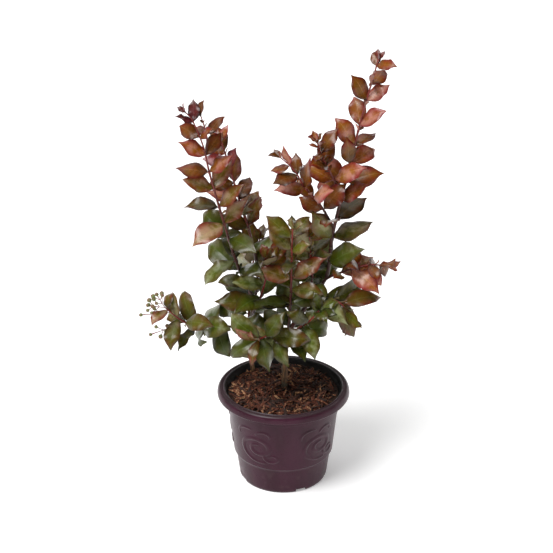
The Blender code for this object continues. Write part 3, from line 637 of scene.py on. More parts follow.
def piece(name, skin, finishes, slot, nodes, tone=None, blades=None, cells=None, worn=None):
    """A closed mesh object that rides on the root and stands for CAD nodes.

    tone: a number a vertex that the finish reads. blades: across, along and underside a vertex of a leaf.
    cells: each corner's place on the sheet that the colours are laid out on. worn: the finish of each face.
    """
    verts, quads, triangles = skin
    corners = np.concatenate([quads.ravel(), triangles.ravel()])
    sizes = np.repeat([4, 3], [len(quads), len(triangles)])
    data = bpy.data.meshes.new(name)
    data.vertices.add(len(verts))
    data.vertices.foreach_set("co", (verts * MM).astype(np.float32).ravel())
    data.loops.add(len(corners))
    data.loops.foreach_set("vertex_index", corners.astype(np.int32))
    data.polygons.add(len(sizes))
    data.polygons.foreach_set("loop_start", (np.cumsum(sizes) - sizes).astype(np.int32))
    data.polygons.foreach_set("use_smooth", np.ones(len(sizes), bool))
    if worn is not None:
        data.polygons.foreach_set("material_index", worn.astype(np.int32))
    data.update(calc_edges=True)

    def note(label, kind, domain, values):
        data.attributes.new(label, kind, domain).data.foreach_set("value", values)

    def lay_out(label, places):
        data.uv_layers.new(name=label).uv.foreach_set("vector", places.astype(np.float32).ravel())

    if tone is not None:
        note("tone", "FLOAT", "POINT", tone.astype(np.float32))
    if blades is not None:
        lay_out("blade", blades[corners][:, :2])
        note("under", "FLOAT", "POINT", blades[:, 2].astype(np.float32))
        ends = np.empty(2 * len(data.edges), np.int32)
        data.edges.foreach_get("vertices", ends)
        note("sharp_edge", "BOOLEAN", "EDGE", (blades[ends.reshape(-1, 2), 2] == 0.5).all(axis=1))
    if cells is not None:
        lay_out("OFBake", cells)
    for finish in finishes:
        data.materials.append(finish)
    obj = bpy.data.objects.new(name, data)
    bpy.context.scene.collection.objects.link(obj)
    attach(obj, "root")
    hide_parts(*nodes)
    return obj


# Leaves, fine

LEAF_SEED = 24
TONE_SEED = 11
LEAF_ROWS = np.array([0.0, 0.04, 0.09, 0.15, 0.23, 0.32, 0.42, 0.52, 0.62, 0.71, 0.80, 0.88, 0.95])
LEAF_ACROSS = np.array([-1, -0.74, -0.40, -0.08, 0.08, 0.40, 0.74, 1])
LEAF_FULLNESS = 0.98  # a blade's breadth over the coarse blade's
STALK_END = 0.07  # share of the length that is stalk
STALK_HALF = 0.55
LEAF_HALF_THICKNESS = 0.20
OUTLINE_POWER = 0.70
TIP_PINCH = 0.55
HANG_HEIGHTS = (410, 250)  # from the first down to the second, leaves get longer, slimmer and more arched
HANG_LENGTH = 0.18
HANG_SLIMMING = 0.24
TINT_STRAY = 0.05  # how far a pair of leaves may take the tint of another place on its shoot
TINT_SLOTS = {"wine": "copper_leaf", "copper": "copper_leaf", "bronze": "bronze_leaf", "olive": "bronze_leaf",
              "green": "green_leaf"}


def smoothstep(value, low, high):
    share = np.clip((value - low) / (high - low), 0, 1)
    return share * share * (3 - 2 * share)


def leaf_outline(s, peak):
    """Half the width over the breadth at a share s of the length.

    0.5 (t / p)^a ((1 - t) / (1 - p))^b on the blade, with its widest place at p, drawn in to a sharp point.
    """
    t = np.clip((s - STALK_END) / (1 - STALK_END), 1e-4, 1 - 1e-4)
    other = OUTLINE_POWER * (1 - peak) / peak
    width = 0.5 * (t / peak) ** OUTLINE_POWER * ((1 - t) / (1 - peak)) ** other
    return width * (1 - TIP_PINCH * smoothstep(t, 0.64, 0.95))


def leaf_skins(leaves):
    """All leaves at once, as closed skins, with each vertex's place on its blade.

    The arrays' axes are leaf, row, column and xyz. The midrib is the sum of its directions, bent by
    droop s^1.3 and curled further near the tip. Across it each half is raised by its fold, rolls down by the
    square of the distance, and waves as sin(2 pi (k s + phase)).
    """
    rng = np.random.default_rng(LEAF_SEED)
    count, rows, wide = len(leaves), len(LEAF_ROWS), len(LEAF_ACROSS)
    at, ahead, face, side, length, droop, breadth, fold, young = (
        np.array([leaf[key] for leaf in leaves])[:, None, None]
        for key in ("at", "ahead", "face", "side", "length", "droop", "breadth", "fold", "young"))
    draw = lambda low, high: rng.uniform(low, high, (count, 1, 1))
    hang = smoothstep(at[..., 2], *HANG_HEIGHTS)
    curl, swerve, twist = draw(-0.25, 1.3) + 0.5 * hang, draw(-0.32, 0.32), draw(-0.55, 0.55)
    arch = draw(0.0, 0.55) * hang
    wave, beats, roll = draw(0.018, 0.066) * ~young, draw(1.3, 2.6), draw(0.08, 0.34)
    phase = rng.uniform(0, 1, (count, 1, 2))
    peak = draw(0.40, 0.52)
    length = length * (1 + HANG_LENGTH * hang)
    breadth = breadth * LEAF_FULLNESS * (1 - HANG_SLIMMING * hang)

    s, v = np.append(LEAF_ROWS, 1.0)[None, :, None], LEAF_ACROSS
    flat, _ = swung(ahead, side, swerve * s)
    bend = droop * s**1.3 + arch * s + curl * np.clip((s - 0.55) / 0.45, 0, 1) ** 1.4
    up, tangent = swung(face, flat, bend)
    steps = (tangent[:, :-1] + tangent[:, 1:]) / 2 * (np.diff(s, axis=1) * length)[..., None]
    midrib = at + np.concatenate([np.zeros((count, 1, 1, 3)), np.cumsum(steps, axis=1)], axis=1)
    out, up = swung(np.cross(tangent, up), up, twist * np.clip(s - 0.1, 0, 1))
    root, tip = midrib[:, 0], midrib[:, rows]
    s, midrib, out, up, tangent = (values[:, :rows] for values in (s, midrib, out, up, tangent))

    half = np.maximum(leaf_outline(s, peak) * breadth * length, np.minimum(STALK_HALF, 0.02 * length))
    on_blade = smoothstep(s, STALK_END, STALK_END + 0.12)
    fold = fold * (1 - 0.5 * smoothstep(s, 0.6, 1.0))
    raised = (np.sqrt(v**2 + 0.01) - 0.1) * np.sin(fold) - roll * v**2
    ripple = np.sin(2 * np.pi * (beats * s + np.where(v < 0, phase[..., :1], phase[..., 1:])))
    ripple *= wave * length * np.abs(v) ** 1.7 * np.sin(np.pi * s)
    middle = midrib + out * (half * v * np.cos(fold))[..., None] + up * (half * raised + ripple)[..., None]
    normal = np.cross(np.gradient(middle, axis=2), tangent)
    normal /= np.linalg.norm(normal, axis=-1, keepdims=True)
    normal *= np.where((normal * up).sum(axis=-1, keepdims=True) < 0, -1, 1)
    thick = LEAF_HALF_THICKNESS * (1 - 0.45 * np.abs(v)) * (0.45 + length / 90)
    thick = thick * on_blade + half * 0.9 * (1 - on_blade)
    rib = 0.30 * np.exp(-(v / 0.14) ** 2) * (0.3 + length / 80) * on_blade
    top = middle + normal * (thick - rib * 0.4)[..., None]
    under = middle - normal * (thick + rib)[..., None]
    edges = (top + under) / 2
    rings = np.concatenate([edges[:, :, :1], top[:, :, 1:-1], edges[:, :, -1:], under[:, :, -2:0:-1]], axis=2)

    verts = np.concatenate([rings.reshape(count, -1, 3), root, tip], axis=1)
    columns = rings.shape[2]
    row, column = np.moveaxis(leaf_faces(), -1, 0)
    ends = rows * columns
    one = np.select([row < 0, row == rows], [ends, ends + 1], row * columns + column % columns).astype(int)
    triangles = one + (np.arange(count) * verts.shape[1])[:, None, None]
    skin = verts.reshape(-1, 3), np.empty((0, 4), int), triangles.reshape(-1, 3)
    across = np.concatenate([v, v[-2:0:-1]])
    below = np.concatenate([[0.5], np.zeros(wide - 2), [0.5], np.ones(wide - 2)])
    grid = np.stack(np.broadcast_arrays(0.5 + across / 2, LEAF_ROWS[:, None], below), axis=-1)
    one = np.concatenate([grid.reshape(-1, 3), [[0.5, 0.0, 0.5], [0.5, 1.0, 0.5]]])
    return skin, np.tile(one, (count, 1))


def leaf_faces():
    """Row and place round the ring of each triangle's corners on one leaf.

    Both skins are split along the same diagonal, so that they never cut through each other.
    """
    rows, wide = len(LEAF_ROWS), len(LEAF_ACROSS)
    columns = 2 * wide - 2
    i, j = (place.ravel() for place in np.mgrid[0:rows - 1, 0:columns])
    a, b, c, d = (np.stack([i + u, j + v], axis=-1) for u, v in ((0, 0), (0, 1), (1, 1), (1, 0)))
    upper = (j < wide - 1)[:, None, None]
    first = np.where(upper, np.stack([a, b, c], axis=1), np.stack([a, b, d], axis=1))
    second = np.where(upper, np.stack([a, c, d], axis=1), np.stack([b, c, d], axis=1))
    j = np.arange(columns)
    at = lambda row, shift: np.stack([np.full(columns, row), j + shift], axis=-1)
    root = np.stack([at(-1, 0.5), at(0, 1), at(0, 0)], axis=1)
    tip = np.stack([at(rows - 1, 0), at(rows - 1, 1), at(rows, 0.5)], axis=1)
    return np.concatenate([first, second, root, tip])


def leaf_cells(count):
    """Each corner's place on the sheet: a cell a leaf, its face at the left and its underside at the right."""
    wide = len(LEAF_ACROSS)
    row, column = np.moveaxis(leaf_faces(), -1, 0)
    under = column.min(axis=1, keepdims=True) >= wide - 1
    share = np.where(under, column - (wide - 1), column) / (wide - 1)
    x = np.where(under, 0.52, 0.02) + 0.46 * share
    y = 0.03 + 0.94 * np.concatenate([LEAF_ROWS, [1.0, -0.02]])[row.astype(int)]
    cells = math.ceil(math.sqrt(count))
    number = np.arange(count)
    corner = np.stack([number % cells, number // cells], axis=-1)
    return ((np.stack([x, y], axis=-1)[None] + corner[:, None, None]) / cells).reshape(-1, 2)


def tint_of(leaf):
    stray = random.Random(f"{leaf['shoot']} {leaf['share']:.4f}").uniform(-TINT_STRAY, TINT_STRAY)
    return next(tint for most, tint in STYLES[leaf["shoot"]]["tints"] if leaf["share"] + stray <= most)


def add_leaves(leaves, finishes):
    """One piece for each tint, with a tone of its own for each leaf."""
    rng = np.random.default_rng(TONE_SEED)
    for tint, finish in finishes.items():
        own = [leaf for leaf in leaves if tint_of(leaf) == tint]
        skin, blades = leaf_skins(own)
        tone = np.repeat(rng.uniform(0, 1, len(own)), len(skin[0]) // len(own))
        nodes = sorted({leaf["shoot"] for leaf in own})
        piece("leaves_" + tint, skin, [finish], TINT_SLOTS[tint], nodes, tone, blades, leaf_cells(len(own)))


# Stems and bark

SHOOT_GROWTH = (1.12, 0.22)  # a shoot's radius is the first times the solid's, plus the second
TRUNK_ROOT = 4.0  # how far a stem goes on down into the mix
SHOOT_SIDES = 12
BOUGH_SIDES = 24
STEM_SIDES = 36
SCAR_EVERY = 19  # millimetres from one leaf scar to the next


def limb_skin(path, radii, sides, relief=lambda reach, turn, radius: 0.0):
    """A tube: place + r (cos a right + sin a up), where r is the radius plus relief(reach, a, radius)."""
    tangent = np.gradient(path, axis=0)
    tangent /= np.linalg.norm(tangent, axis=1, keepdims=True)
    right = np.array([heading(ahead, 0.0) for ahead in tangent])
    radius = np.repeat(radii[:, None], sides, axis=1)
    radius = radius + relief(reaches(path)[:, None], turns(sides), radius)
    rings = rings_round(path, radius, right, np.cross(tangent, right))
    return shells(rings, path[0] - tangent[0] * radii[0] * 0.3, path[-1] + tangent[-1] * radii[-1] * 0.6)


def bark_relief(seed, depth, furrows, flare=0.0):
    """Shallow furrows and flaking plates, with old leaf scars across them.

    The sum over the furrows m of depth sin(m a + w reach + phase) / (1 + m / 4), with seeded w and phase.
    """
    rng = np.random.default_rng(seed)
    terms = [(m, 2 * math.pi / rng.uniform(9, 46), rng.uniform(0, 2 * math.pi), rng.choice([-1, 1]))
             for m in furrows]
    lobes = rng.uniform(0, 2 * math.pi, 2)

    def relief(reach, turn, radius):
        waves = [np.sin(m * turn + sign * w * reach + phase) / (1 + 0.25 * m) for m, w, phase, sign in terms]
        found = sum(waves)
        scar = np.exp(-(((reach + 6) % SCAR_EVERY - SCAR_EVERY / 2) / 1.1) ** 2)
        foot = flare * np.exp(-(reach / FLARE_HEIGHT) ** 1.5)
        foot = foot * (1 + 0.35 * np.sin(3 * turn + lobes[0]) + 0.2 * np.sin(5 * turn + lobes[1]))
        return depth * (found + 1.1 * scar) * radius / 4 + foot * radius

    return relief


def shoot_relief(places):
    """A stem with four soft edges, r 0.07 cos(4 a), and swollen by 0.28 r where each leaf pair stands."""
    def relief(reach, turn, radius):
        swell = np.exp(-((reach - places) / 1.7) ** 2).sum(axis=1, keepdims=True)
        return radius * (0.07 * np.cos(4 * turn) + 0.28 * np.minimum(swell, 1))

    return relief


def add_stems(grown, leaves, finishes):
    """The two stems that stand in the mix, the boughs, and the shoots as one piece."""
    rooted = {"trunk": (3, 0.30), "second_stem": (5, 0.22)}
    for node, (seed, depth) in rooted.items():
        path, radii = grown[node]
        path = np.vstack([path[0] - [0, 0, TRUNK_ROOT], path])
        radii = np.append(radii[0], radii)
        skin = limb_skin(path, radii, STEM_SIDES, bark_relief(seed, depth, (1, 2, 3, 5, 7, 8, 11), FLARE - 1))
        piece(node + "_bark", skin, [finishes["bark"]], "bark", [node])
    boughs = [node for node in grown if node not in SHOOTS and node not in rooted]
    for number, node in enumerate(boughs):
        skin = limb_skin(*grown[node], BOUGH_SIDES, bark_relief(20 + number, 0.14, (1, 2, 3, 4, 7)))
        tone = np.full(len(skin[0]), 0.25)
        piece(node + "_bark", skin, [finishes["young"]], "young_bark", [node], tone)
    skins, tones = [], []
    for shoot in SHOOTS:
        path, radii = grown[shoot]
        share = reaches(path) / reaches(path)[-1]
        pairs = sorted({round(leaf["share"], 4) for leaf in leaves if leaf["shoot"] == shoot})
        relief = shoot_relief(np.array(pairs) * reaches(path)[-1])
        skins.append(limb_skin(path, radii * SHOOT_GROWTH[0] + SHOOT_GROWTH[1], SHOOT_SIDES, relief))
        tone = np.concatenate([np.repeat(share, SHOOT_SIDES), [0, 1]])
        tones.append(tone * (0.75 if "leader" in shoot else 1.0) + 0.15)
    tone = np.concatenate(tones)
    piece("shoot_stems", joined(skins), [finishes["young"]], "young_bark", list(SHOOTS), tone)


# Flower buds

BUD_ROWS = 11
BUD_COLUMNS = 18
STALK_PLACES = 14


def add_buds(sprays, finishes):
    """Round buds with six soft ribs and a short point, on thin stalks.

    Its radius is R sin(a) (1 - 0.1 cos(a)) (1 + 0.06 sin(a) cos(6 b)), with a from the base and b round it.
    """
    number = np.arange(len(sprays))
    centre, way = (np.array([spray[i] for spray in sprays]) for i in (2, 3))
    right = np.array([heading(*each) for each in zip(way, 0.3 * number)])
    size = (BUD_RADIUS * (1.10 + 0.16 * np.sin(2.4 * number)))[:, None]
    a = np.linspace(0, np.pi, BUD_ROWS + 2)[1:-1]
    ribs = 1 + 0.06 * np.cos(6 * turns(BUD_COLUMNS)) * np.sin(a)[:, None]
    radius = size[..., None] * (np.sin(a) * (1 - 0.10 * np.cos(a)))[:, None] * ribs
    middle = centre[:, None] - way[:, None] * (size * np.cos(a))[..., None]
    rings = rings_round(middle, radius, right[:, None], np.cross(way, right)[:, None])
    skin = shells(rings, centre - way * size, centre + way * size * 1.22)
    tone = np.concatenate([np.repeat(np.linspace(0, 1, BUD_ROWS), BUD_COLUMNS), [0, 1]])
    piece("flower_buds", skin, [finishes["bud"]], "green_leaf", [BUD_SHOOT], np.tile(tone, len(sprays)))
    share = np.linspace(0, 1, STALK_PLACES)
    sag = np.sin(np.pi * share)[:, None] * [0, 0, -0.5]
    swell = BUD_STALK_RADIUS * (1 + 0.9 * np.exp(-((share - 1) / 0.10) ** 2))
    stalks = [limb_skin(np.linspace(foot, end + way * 0.6, STALK_PLACES) + sag, swell, 10)
              for foot, end, _, way in sprays]
    skin = joined(stalks)
    piece("bud_stalks", skin, [finishes["young"]], "young_bark", [BUD_SHOOT], np.ones(len(skin[0])))


# The pot

POT_COLUMNS = 480
INSIDE, RIM, BODY, FOOT = range(4)
LIP_ROUND = 1.2
LINER_ENDS = 1.9  # radians up round the lip from its outer side, past which it is the black liner
SCROLLS = 5
SCROLL_TURN = -27  # degrees from the front to the middle of the first scroll, towards +X
SCROLL_HEIGHT = 81.0
SCROLL_STRETCH = 1.18  # how much wider and flatter than their strokes are drawn
SCROLL_RELIEF = 1.3
SCROLL_STROKES = (
    # Centre, radius, how fast it shrinks, first and last turn in degrees, half width
    ((-2, 0), 30, 1.35, -75, -635, 4.0),
    ((17, -17), 13, 1.1, 120, 520, 2.7),
    ((-20, 22), 17, 0.5, 60, 190, 2.4),
    ((8, 27), 12, 0.7, 170, -20, 2.5),
)
BANDS = (131.5, 127.5)  # heights of the two fine lines under the rim


def body_radius(height):
    """The body's outer radius between the foot and the rim."""
    skirt = POT_HEIGHT - RIM_SKIRT
    foot = FOOT_RADIUS + FOOT_WIDENING
    low = LEDGE_HEIGHT - LEDGE_DEPTH
    if height >= LEDGE_HEIGHT:
        share = (height - LEDGE_HEIGHT) / (skirt - LEDGE_HEIGHT)
        return LEDGE_RADIUS + (COLLAR_RADIUS - LEDGE_RADIUS) * share
    return foot + (LEDGE_RADIUS - LEDGE_DEPTH - foot) * height / low


def pot_profile():
    """Each row's radius, height and part, from the floor's middle up the inside and down the outside."""
    skirt = POT_HEIGHT - RIM_SKIRT
    ledge, under_ledge = LEDGE_RADIUS - LEDGE_DEPTH, LEDGE_HEIGHT - LEDGE_DEPTH - 1
    rows = []

    def run(mark, *corners):
        """Straight stretches between corners, each in as many steps as the third number of its first says."""
        for (r0, z0, *steps), (r1, z1, *_) in zip(corners, corners[1:]):
            for share in np.arange(*steps or [1]) / (steps or [1])[0]:
                rows.append((r0 + (r1 - r0) * share, z0 + (z1 - z0) * share, mark))

    inner = lambda height, steps: (body_radius(height) - WALL, height, steps)
    run(INSIDE, (3.0, FLOOR, 4), (FOOT_RADIUS - 4.5, FLOOR), (FOOT_RADIUS - 2.2, FLOOR + 2, 3),
        (ledge - WALL, under_ledge), inner(LEDGE_HEIGHT + 1, 8), inner(skirt - 1, 2),
        (COLLAR_STEP_RADIUS - WALL, COLLAR_STEP_HEIGHT, 3), (MOUTH_RADIUS - 0.3, POT_HEIGHT - 2.0))
    for a in np.radians(np.arange(180, 0, -22.5)):
        radius = MOUTH_RADIUS + 1.0 + LIP_ROUND * math.cos(a)
        height = POT_HEIGHT - LIP_ROUND + LIP_ROUND * math.sin(a)
        rows.append((radius, height, RIM if a < LINER_ENDS else INSIDE))
    run(RIM, (MOUTH_RADIUS + 2.4, POT_HEIGHT - 0.9, 2), (RIM_FLAT_RADIUS - 1.6, POT_HEIGHT - 0.75))
    wide = RIM_RADIUS - RIM_FLAT_RADIUS
    for a in np.radians(np.arange(0, 91, 6)):
        height = POT_HEIGHT - 0.4 - RIM_ROUND * (1 - math.cos(a))
        rows.append((RIM_FLAT_RADIUS + wide * math.sin(a), height, RIM))
    run(RIM, (RIM_RADIUS - 0.1, skirt + 0.9), (RIM_RADIUS - 0.5, skirt + 0.15), (RIM_RADIUS - 0.9, skirt),
        (RIM_RADIUS - RIM_WALL, skirt + 0.1), (RIM_RADIUS - RIM_WALL - 0.6, POT_HEIGHT - 5.0),
        (RIM_FLAT_RADIUS - 3.0, POT_HEIGHT - 2.6), (MOUTH_RADIUS + 1.6, POT_HEIGHT - 3.6),
        (COLLAR_STEP_RADIUS, COLLAR_STEP_HEIGHT), (COLLAR_RADIUS, skirt - 0.4))
    run(BODY, (COLLAR_RADIUS, skirt - 0.5, 92), (LEDGE_RADIUS, LEDGE_HEIGHT + 0.9))
    run(FOOT, (LEDGE_RADIUS, LEDGE_HEIGHT + 0.6), (LEDGE_RADIUS - 0.25, LEDGE_HEIGHT - 0.1),
        (LEDGE_RADIUS - 0.9, LEDGE_HEIGHT - 0.7), (ledge + 0.8, LEDGE_HEIGHT - LEDGE_DEPTH * 0.8),
        (ledge, under_ledge, 16), (body_radius(4.0), 4.0, 3), (FOOT_RADIUS + 0.6, 1.0),
        *((r, 0.0) for r in (FOOT_RADIUS - 0.6, FOOT_RADIUS - 4, NOTCH_REACH + 0.6, NOTCH_REACH - 0.1)),
        (20.0, 0.0), (3.0, 0.0), (2.0, 0.0))
    return np.array(rows)


def scroll_field(turn, height):
    """How far the ornament stands out: relief (1 - (d / w)^2)^0.7 at a distance d from the nearest stroke.

    Each stroke is a spiral, r0 exp(-k s), whose half width w swells in its middle.
    """
    step = 2 * np.pi / SCROLLS
    local = (turn - math.radians(SCROLL_TURN - 90) + step / 2) % step - step / 2
    x = local * body_radius(SCROLL_HEIGHT) / SCROLL_STRETCH
    y = (height - SCROLL_HEIGHT) * SCROLL_STRETCH
    best = np.zeros(x.shape)
    share = np.linspace(0, 1, 90)
    for centre, r0, decay, first, last, width in SCROLL_STROKES:
        a = np.radians(first + (last - first) * share)
        points = centre + (r0 * np.exp(-decay * share))[:, None] * np.stack([np.cos(a), np.sin(a)], axis=-1)
        widths = width * (0.35 + 0.65 * np.sin(np.pi * np.clip(share * 0.85 + 0.12, 0, 1)))
        low, high = points.min(axis=0) - 4, points.max(axis=0) + 4
        near = (x > low[0]) & (x < high[0]) & (y > low[1]) & (y < high[1])
        place = np.stack([x[near], y[near]], axis=-1)
        for point, half in zip(points, widths):
            distance = ((place - point) ** 2).sum(axis=1) / half**2
            found = np.clip(1 - distance, 0, 1) ** 0.7 * min(1, half / 2.2)
            best[near] = np.maximum(best[near], found)
    return best * SCROLL_RELIEF


def add_pot(finishes):
    """The profile turned round Z, with scrolls raised on the body and drain notches lifted into the foot."""
    turn = turns(POT_COLUMNS)
    radius, height, mark = (np.repeat(column[:, None], POT_COLUMNS, axis=1) for column in pot_profile().T)
    body = mark[:, 0] == BODY
    on_body = height[body]
    relief = scroll_field(np.broadcast_to(turn, on_body.shape), on_body)
    relief += sum(0.35 * np.exp(-((on_body - z) / 0.7) ** 2) for z in BANDS)
    radius[body] += relief * smoothstep(on_body, LEDGE_HEIGHT + 1, LEDGE_HEIGHT + 4)
    step = 2 * np.pi / NOTCHES
    off = (turn - math.radians(NOTCH_TURN - 90) + step / 2) % step - step / 2
    sideways = np.abs(np.sin(off)) * radius
    for part, wall in ((FOOT, 0), (INSIDE, CHANNEL_WALL)):
        lifted = (sideways < NOTCH_WIDTH / 2 + wall) & (radius > NOTCH_REACH - wall) & (mark == part)
        height = np.where(lifted, np.maximum(height, NOTCH_HEIGHT + wall), height)
    skin = shells(lathed(radius, height, POT_COLUMNS), (0, 0, FLOOR), (0, 0, 0))
    black = (mark[:-1] == INSIDE).ravel()
    worn = np.concatenate([black, np.ones(POT_COLUMNS, bool), np.zeros(POT_COLUMNS, bool)])
    piece("pot_shell", skin, [finishes["pot"], finishes["liner"]], "pot_plastic", ["pot"], worn=worn)


# The bark mix

BED_LEVEL = 140.3  # the loose chips heap a little over the solid's even top
BED_COLUMNS = 160
BED_ROWS = 44
BED_EDGE = 84.0  # where the bed's bumps have died out
BED_SEED = 4
BED_WAVES = 14
BED_WAVE = (9, 40)
BED_BUMPS = 0.55  # how high the longest waves are
LITTER_SEED = 21
LITTER_REACH = 83.0  # no chip or splinter lies further out
CHIPS = 1250
SPLINTERS = 120
CHIP_ROWS = np.array([0.0, 0.22, 0.5, 0.78, 1.0])
CHIP_SIDES = 7
STEM_FEET = (((2, 12), 6.0), ((-47, 61), 4.5))  # where the stems stand, and how far chips keep off


def bed_height(x, y):
    """The bed's bumps: seeded waves w sin(2 pi d / w + phase) of 9 to 40 mm, which die out at the wall."""
    rng = np.random.default_rng(BED_SEED)
    total = 0
    for _ in range(BED_WAVES):
        way, wide, phase = rng.uniform(0, 2 * math.pi), rng.uniform(*BED_WAVE), rng.uniform(0, 2 * math.pi)
        distance = x * math.cos(way) + y * math.sin(way)
        total = total + wide / BED_WAVE[1] * np.sin(distance * 2 * math.pi / wide + phase)
    return BED_BUMPS * total * np.clip((BED_EDGE - np.hypot(x, y)) / 12, 0, 1)


def add_bed(finishes):
    """A lumpy top over a plug that fills the pot, r and z turned round Z."""
    inside = lambda z: body_radius(z) - WALL - GAP
    bottom = NOTCH_HEIGHT + CHANNEL_WALL + GAP
    level = BED_LEVEL - 0.8
    profile = [(r, level) for r in np.linspace(2.0, inside(BED_LEVEL) - 0.6, BED_ROWS)]
    profile += [(inside(z), z) for z in (BED_LEVEL - 1.6, 90.0, LEDGE_HEIGHT + 1.2)]
    profile += [(LEDGE_RADIUS - LEDGE_DEPTH - WALL - GAP, LEDGE_HEIGHT - LEDGE_DEPTH - 0.6),
                (FOOT_RADIUS - 0.4 - WALL - GAP, bottom), (2.0, bottom)]
    profile = np.array(profile)
    rings = lathed(profile[:, :1], profile[:, 1:], BED_COLUMNS)
    top = rings[:BED_ROWS]
    top[..., 2] += bed_height(top[..., 0], top[..., 1])
    skin = shells(rings, (0, 0, level + bed_height(0.0, 0.0)), (0, 0, bottom))
    piece("bark_mix_bed", skin, [finishes["bed"]], "bark_mix", ["soil"])


def scattered(rng, length, thick):
    """The chips' middles on the bed, inside the pot's wall and off the stems."""
    count = len(length)
    r = (LITTER_REACH - 0.36 * length) * np.sqrt(rng.uniform(0, 1, count))
    a = rng.uniform(0, 2 * math.pi, count)
    x, y = r * np.cos(a), r * np.sin(a)
    for foot, clear in STEM_FEET:
        dx, dy = x - foot[0], y - foot[1]
        d = np.maximum(np.hypot(dx, dy), 0.1)
        push = np.maximum(d, clear + 0.35 * length * (d < clear + 0.35 * length)) / d
        x, y = foot[0] + dx * push, foot[1] + dy * push
    z = BED_LEVEL + bed_height(x, y) + rng.uniform(-0.6, 2.0, count) + thick * 0.4
    return np.stack([x, y, z], axis=-1)


def litter(name, finish, rng, length, wide, thick, draw_tilt):
    """Split pieces: rings along a slightly bent axis, swelling as sin(pi t) and made ragged by the draws."""
    count = len(length)
    middle = scattered(rng, length, thick)
    turn, tilt = rng.uniform(0, 2 * math.pi, count), draw_tilt()
    roll = rng.normal(0, 0.45, count).clip(-1.1, 1.1)
    ahead = np.stack([np.cos(turn) * np.cos(tilt), np.sin(turn) * np.cos(tilt), np.sin(tilt)], axis=-1)
    side = np.stack([-np.sin(turn), np.cos(turn), np.zeros(count)], axis=-1)
    side, up = swung(side, np.cross(ahead, side), roll)
    long, wide, thick = (size[:, None, None] for size in (length, wide, thick))
    t, around = CHIP_ROWS[:, None], turns(CHIP_SIDES)
    shape = (count, len(CHIP_ROWS), CHIP_SIDES)
    taper = (0.45 + 0.55 * np.sin(np.pi * t)) * rng.uniform(0.72, 1.15, shape)
    taper = taper / np.maximum(np.abs(np.cos(around)), np.abs(np.sin(around))) ** 0.6
    x = (t - 0.5 + rng.uniform(-0.07, 0.07, shape)) * long
    y = wide / 2 * taper * np.cos(around)
    z = thick / 2 * taper * np.sin(around)
    z = z + rng.uniform(-0.06, 0.10, count)[:, None, None] * long * (1 - (2 * t - 1) ** 2)
    rings = middle[:, None, None] + sum(
        size[..., None] * way[:, None, None] for size, way in ((x, ahead), (y, side), (z, up)))
    ends = [(middle + ahead * (length * sign)[:, None] / 2 + rings[:, row].mean(axis=1)) / 2
            for sign, row in ((-1, 0), (1, -1))]
    flat = np.hypot(rings[..., 0], rings[..., 1])[..., None]
    rings[..., :2] *= np.minimum(1, LITTER_REACH / np.maximum(flat, 1e-6))
    skin = shells(rings, *ends)
    tone = np.repeat(rng.uniform(0, 1, count), len(skin[0]) // count)
    piece(name, skin, [finish], "bark_mix", ["soil"], tone)


def add_litter(finishes):
    """Chips of pine bark, and paler splinters that lie flatter among them."""
    rng = np.random.default_rng(LITTER_SEED)
    length = rng.uniform(10, 33, CHIPS) * rng.uniform(0.7, 1, CHIPS)
    wide, thick = length * rng.uniform(0.10, 0.26, CHIPS), rng.uniform(1.0, 2.9, CHIPS)
    litter("bark_chips", finishes["chips"], rng, length, wide, thick,
           lambda: rng.normal(0, 0.28, CHIPS).clip(-0.7, 0.7))
    length = rng.uniform(14, 30, SPLINTERS) * rng.uniform(0.7, 1, SPLINTERS)
    wide, thick = rng.uniform(0.7, 1.6, SPLINTERS), rng.uniform(0.4, 0.9, SPLINTERS)
    litter("pale_straws", finishes["splinters"], rng, length, wide, thick,
           lambda: rng.uniform(-0.10, 0.10, SPLINTERS))


# Finishes

def srgb(code):
    """A hex colour such as 8a4b2c as linear red, green, blue and alpha."""
    values = [int(code[i:i + 2], 16) / 255 for i in (0, 2, 4)]
    return tuple(v / 12.92 if v <= 0.04045 else ((v + 0.055) / 1.055) ** 2.4 for v in values) + (1.0,)


class Signal:
    """A node's output, which is added, subtracted and multiplied like a number."""

    def __init__(self, socket):
        self.socket = socket

    def output(self, number):
        return Signal(self.socket.node.outputs[number])

    def maths(self, operation, *others):
        inputs = dict(enumerate((self, *others)))
        return add(self.socket.id_data, "ShaderNodeMath", inputs, operation=operation)

    def __add__(self, other):
        return self.maths("ADD", other)

    def __sub__(self, other):
        return self.maths("SUBTRACT", other)

    def __mul__(self, other):
        return self.maths("MULTIPLY", other)

    def ramp(self, low, high, start=0.0, end=1.0):
        """A soft step from `start` where the signal is `low` to `end` where it is `high`."""
        return add(self.socket.id_data, "ShaderNodeMapRange", {0: self, 1: low, 2: high, 3: start, 4: end},
                   interpolation_type="SMOOTHSTEP")

    def blend(self, first, second):
        """The first colour where the signal is 0 and the second where it is 1."""
        inputs = {0: self, 6: first, 7: second}
        return add(self.socket.id_data, "ShaderNodeMix", inputs, data_type="RGBA").output(2)


def add(tree, kind, inputs=(), **settings):
    """Adds a node with its settings and {socket: number, hex colour or signal}; gives its first output."""
    made = tree.nodes.new(kind)
    for name, value in settings.items():
        setattr(made, name, value)
    for key, value in dict(inputs).items():
        if isinstance(value, Signal):
            tree.links.new(value.socket, made.inputs[key])
        else:
            made.inputs[key].default_value = srgb(value) if isinstance(value, str) else value
    return Signal(made.outputs[0])


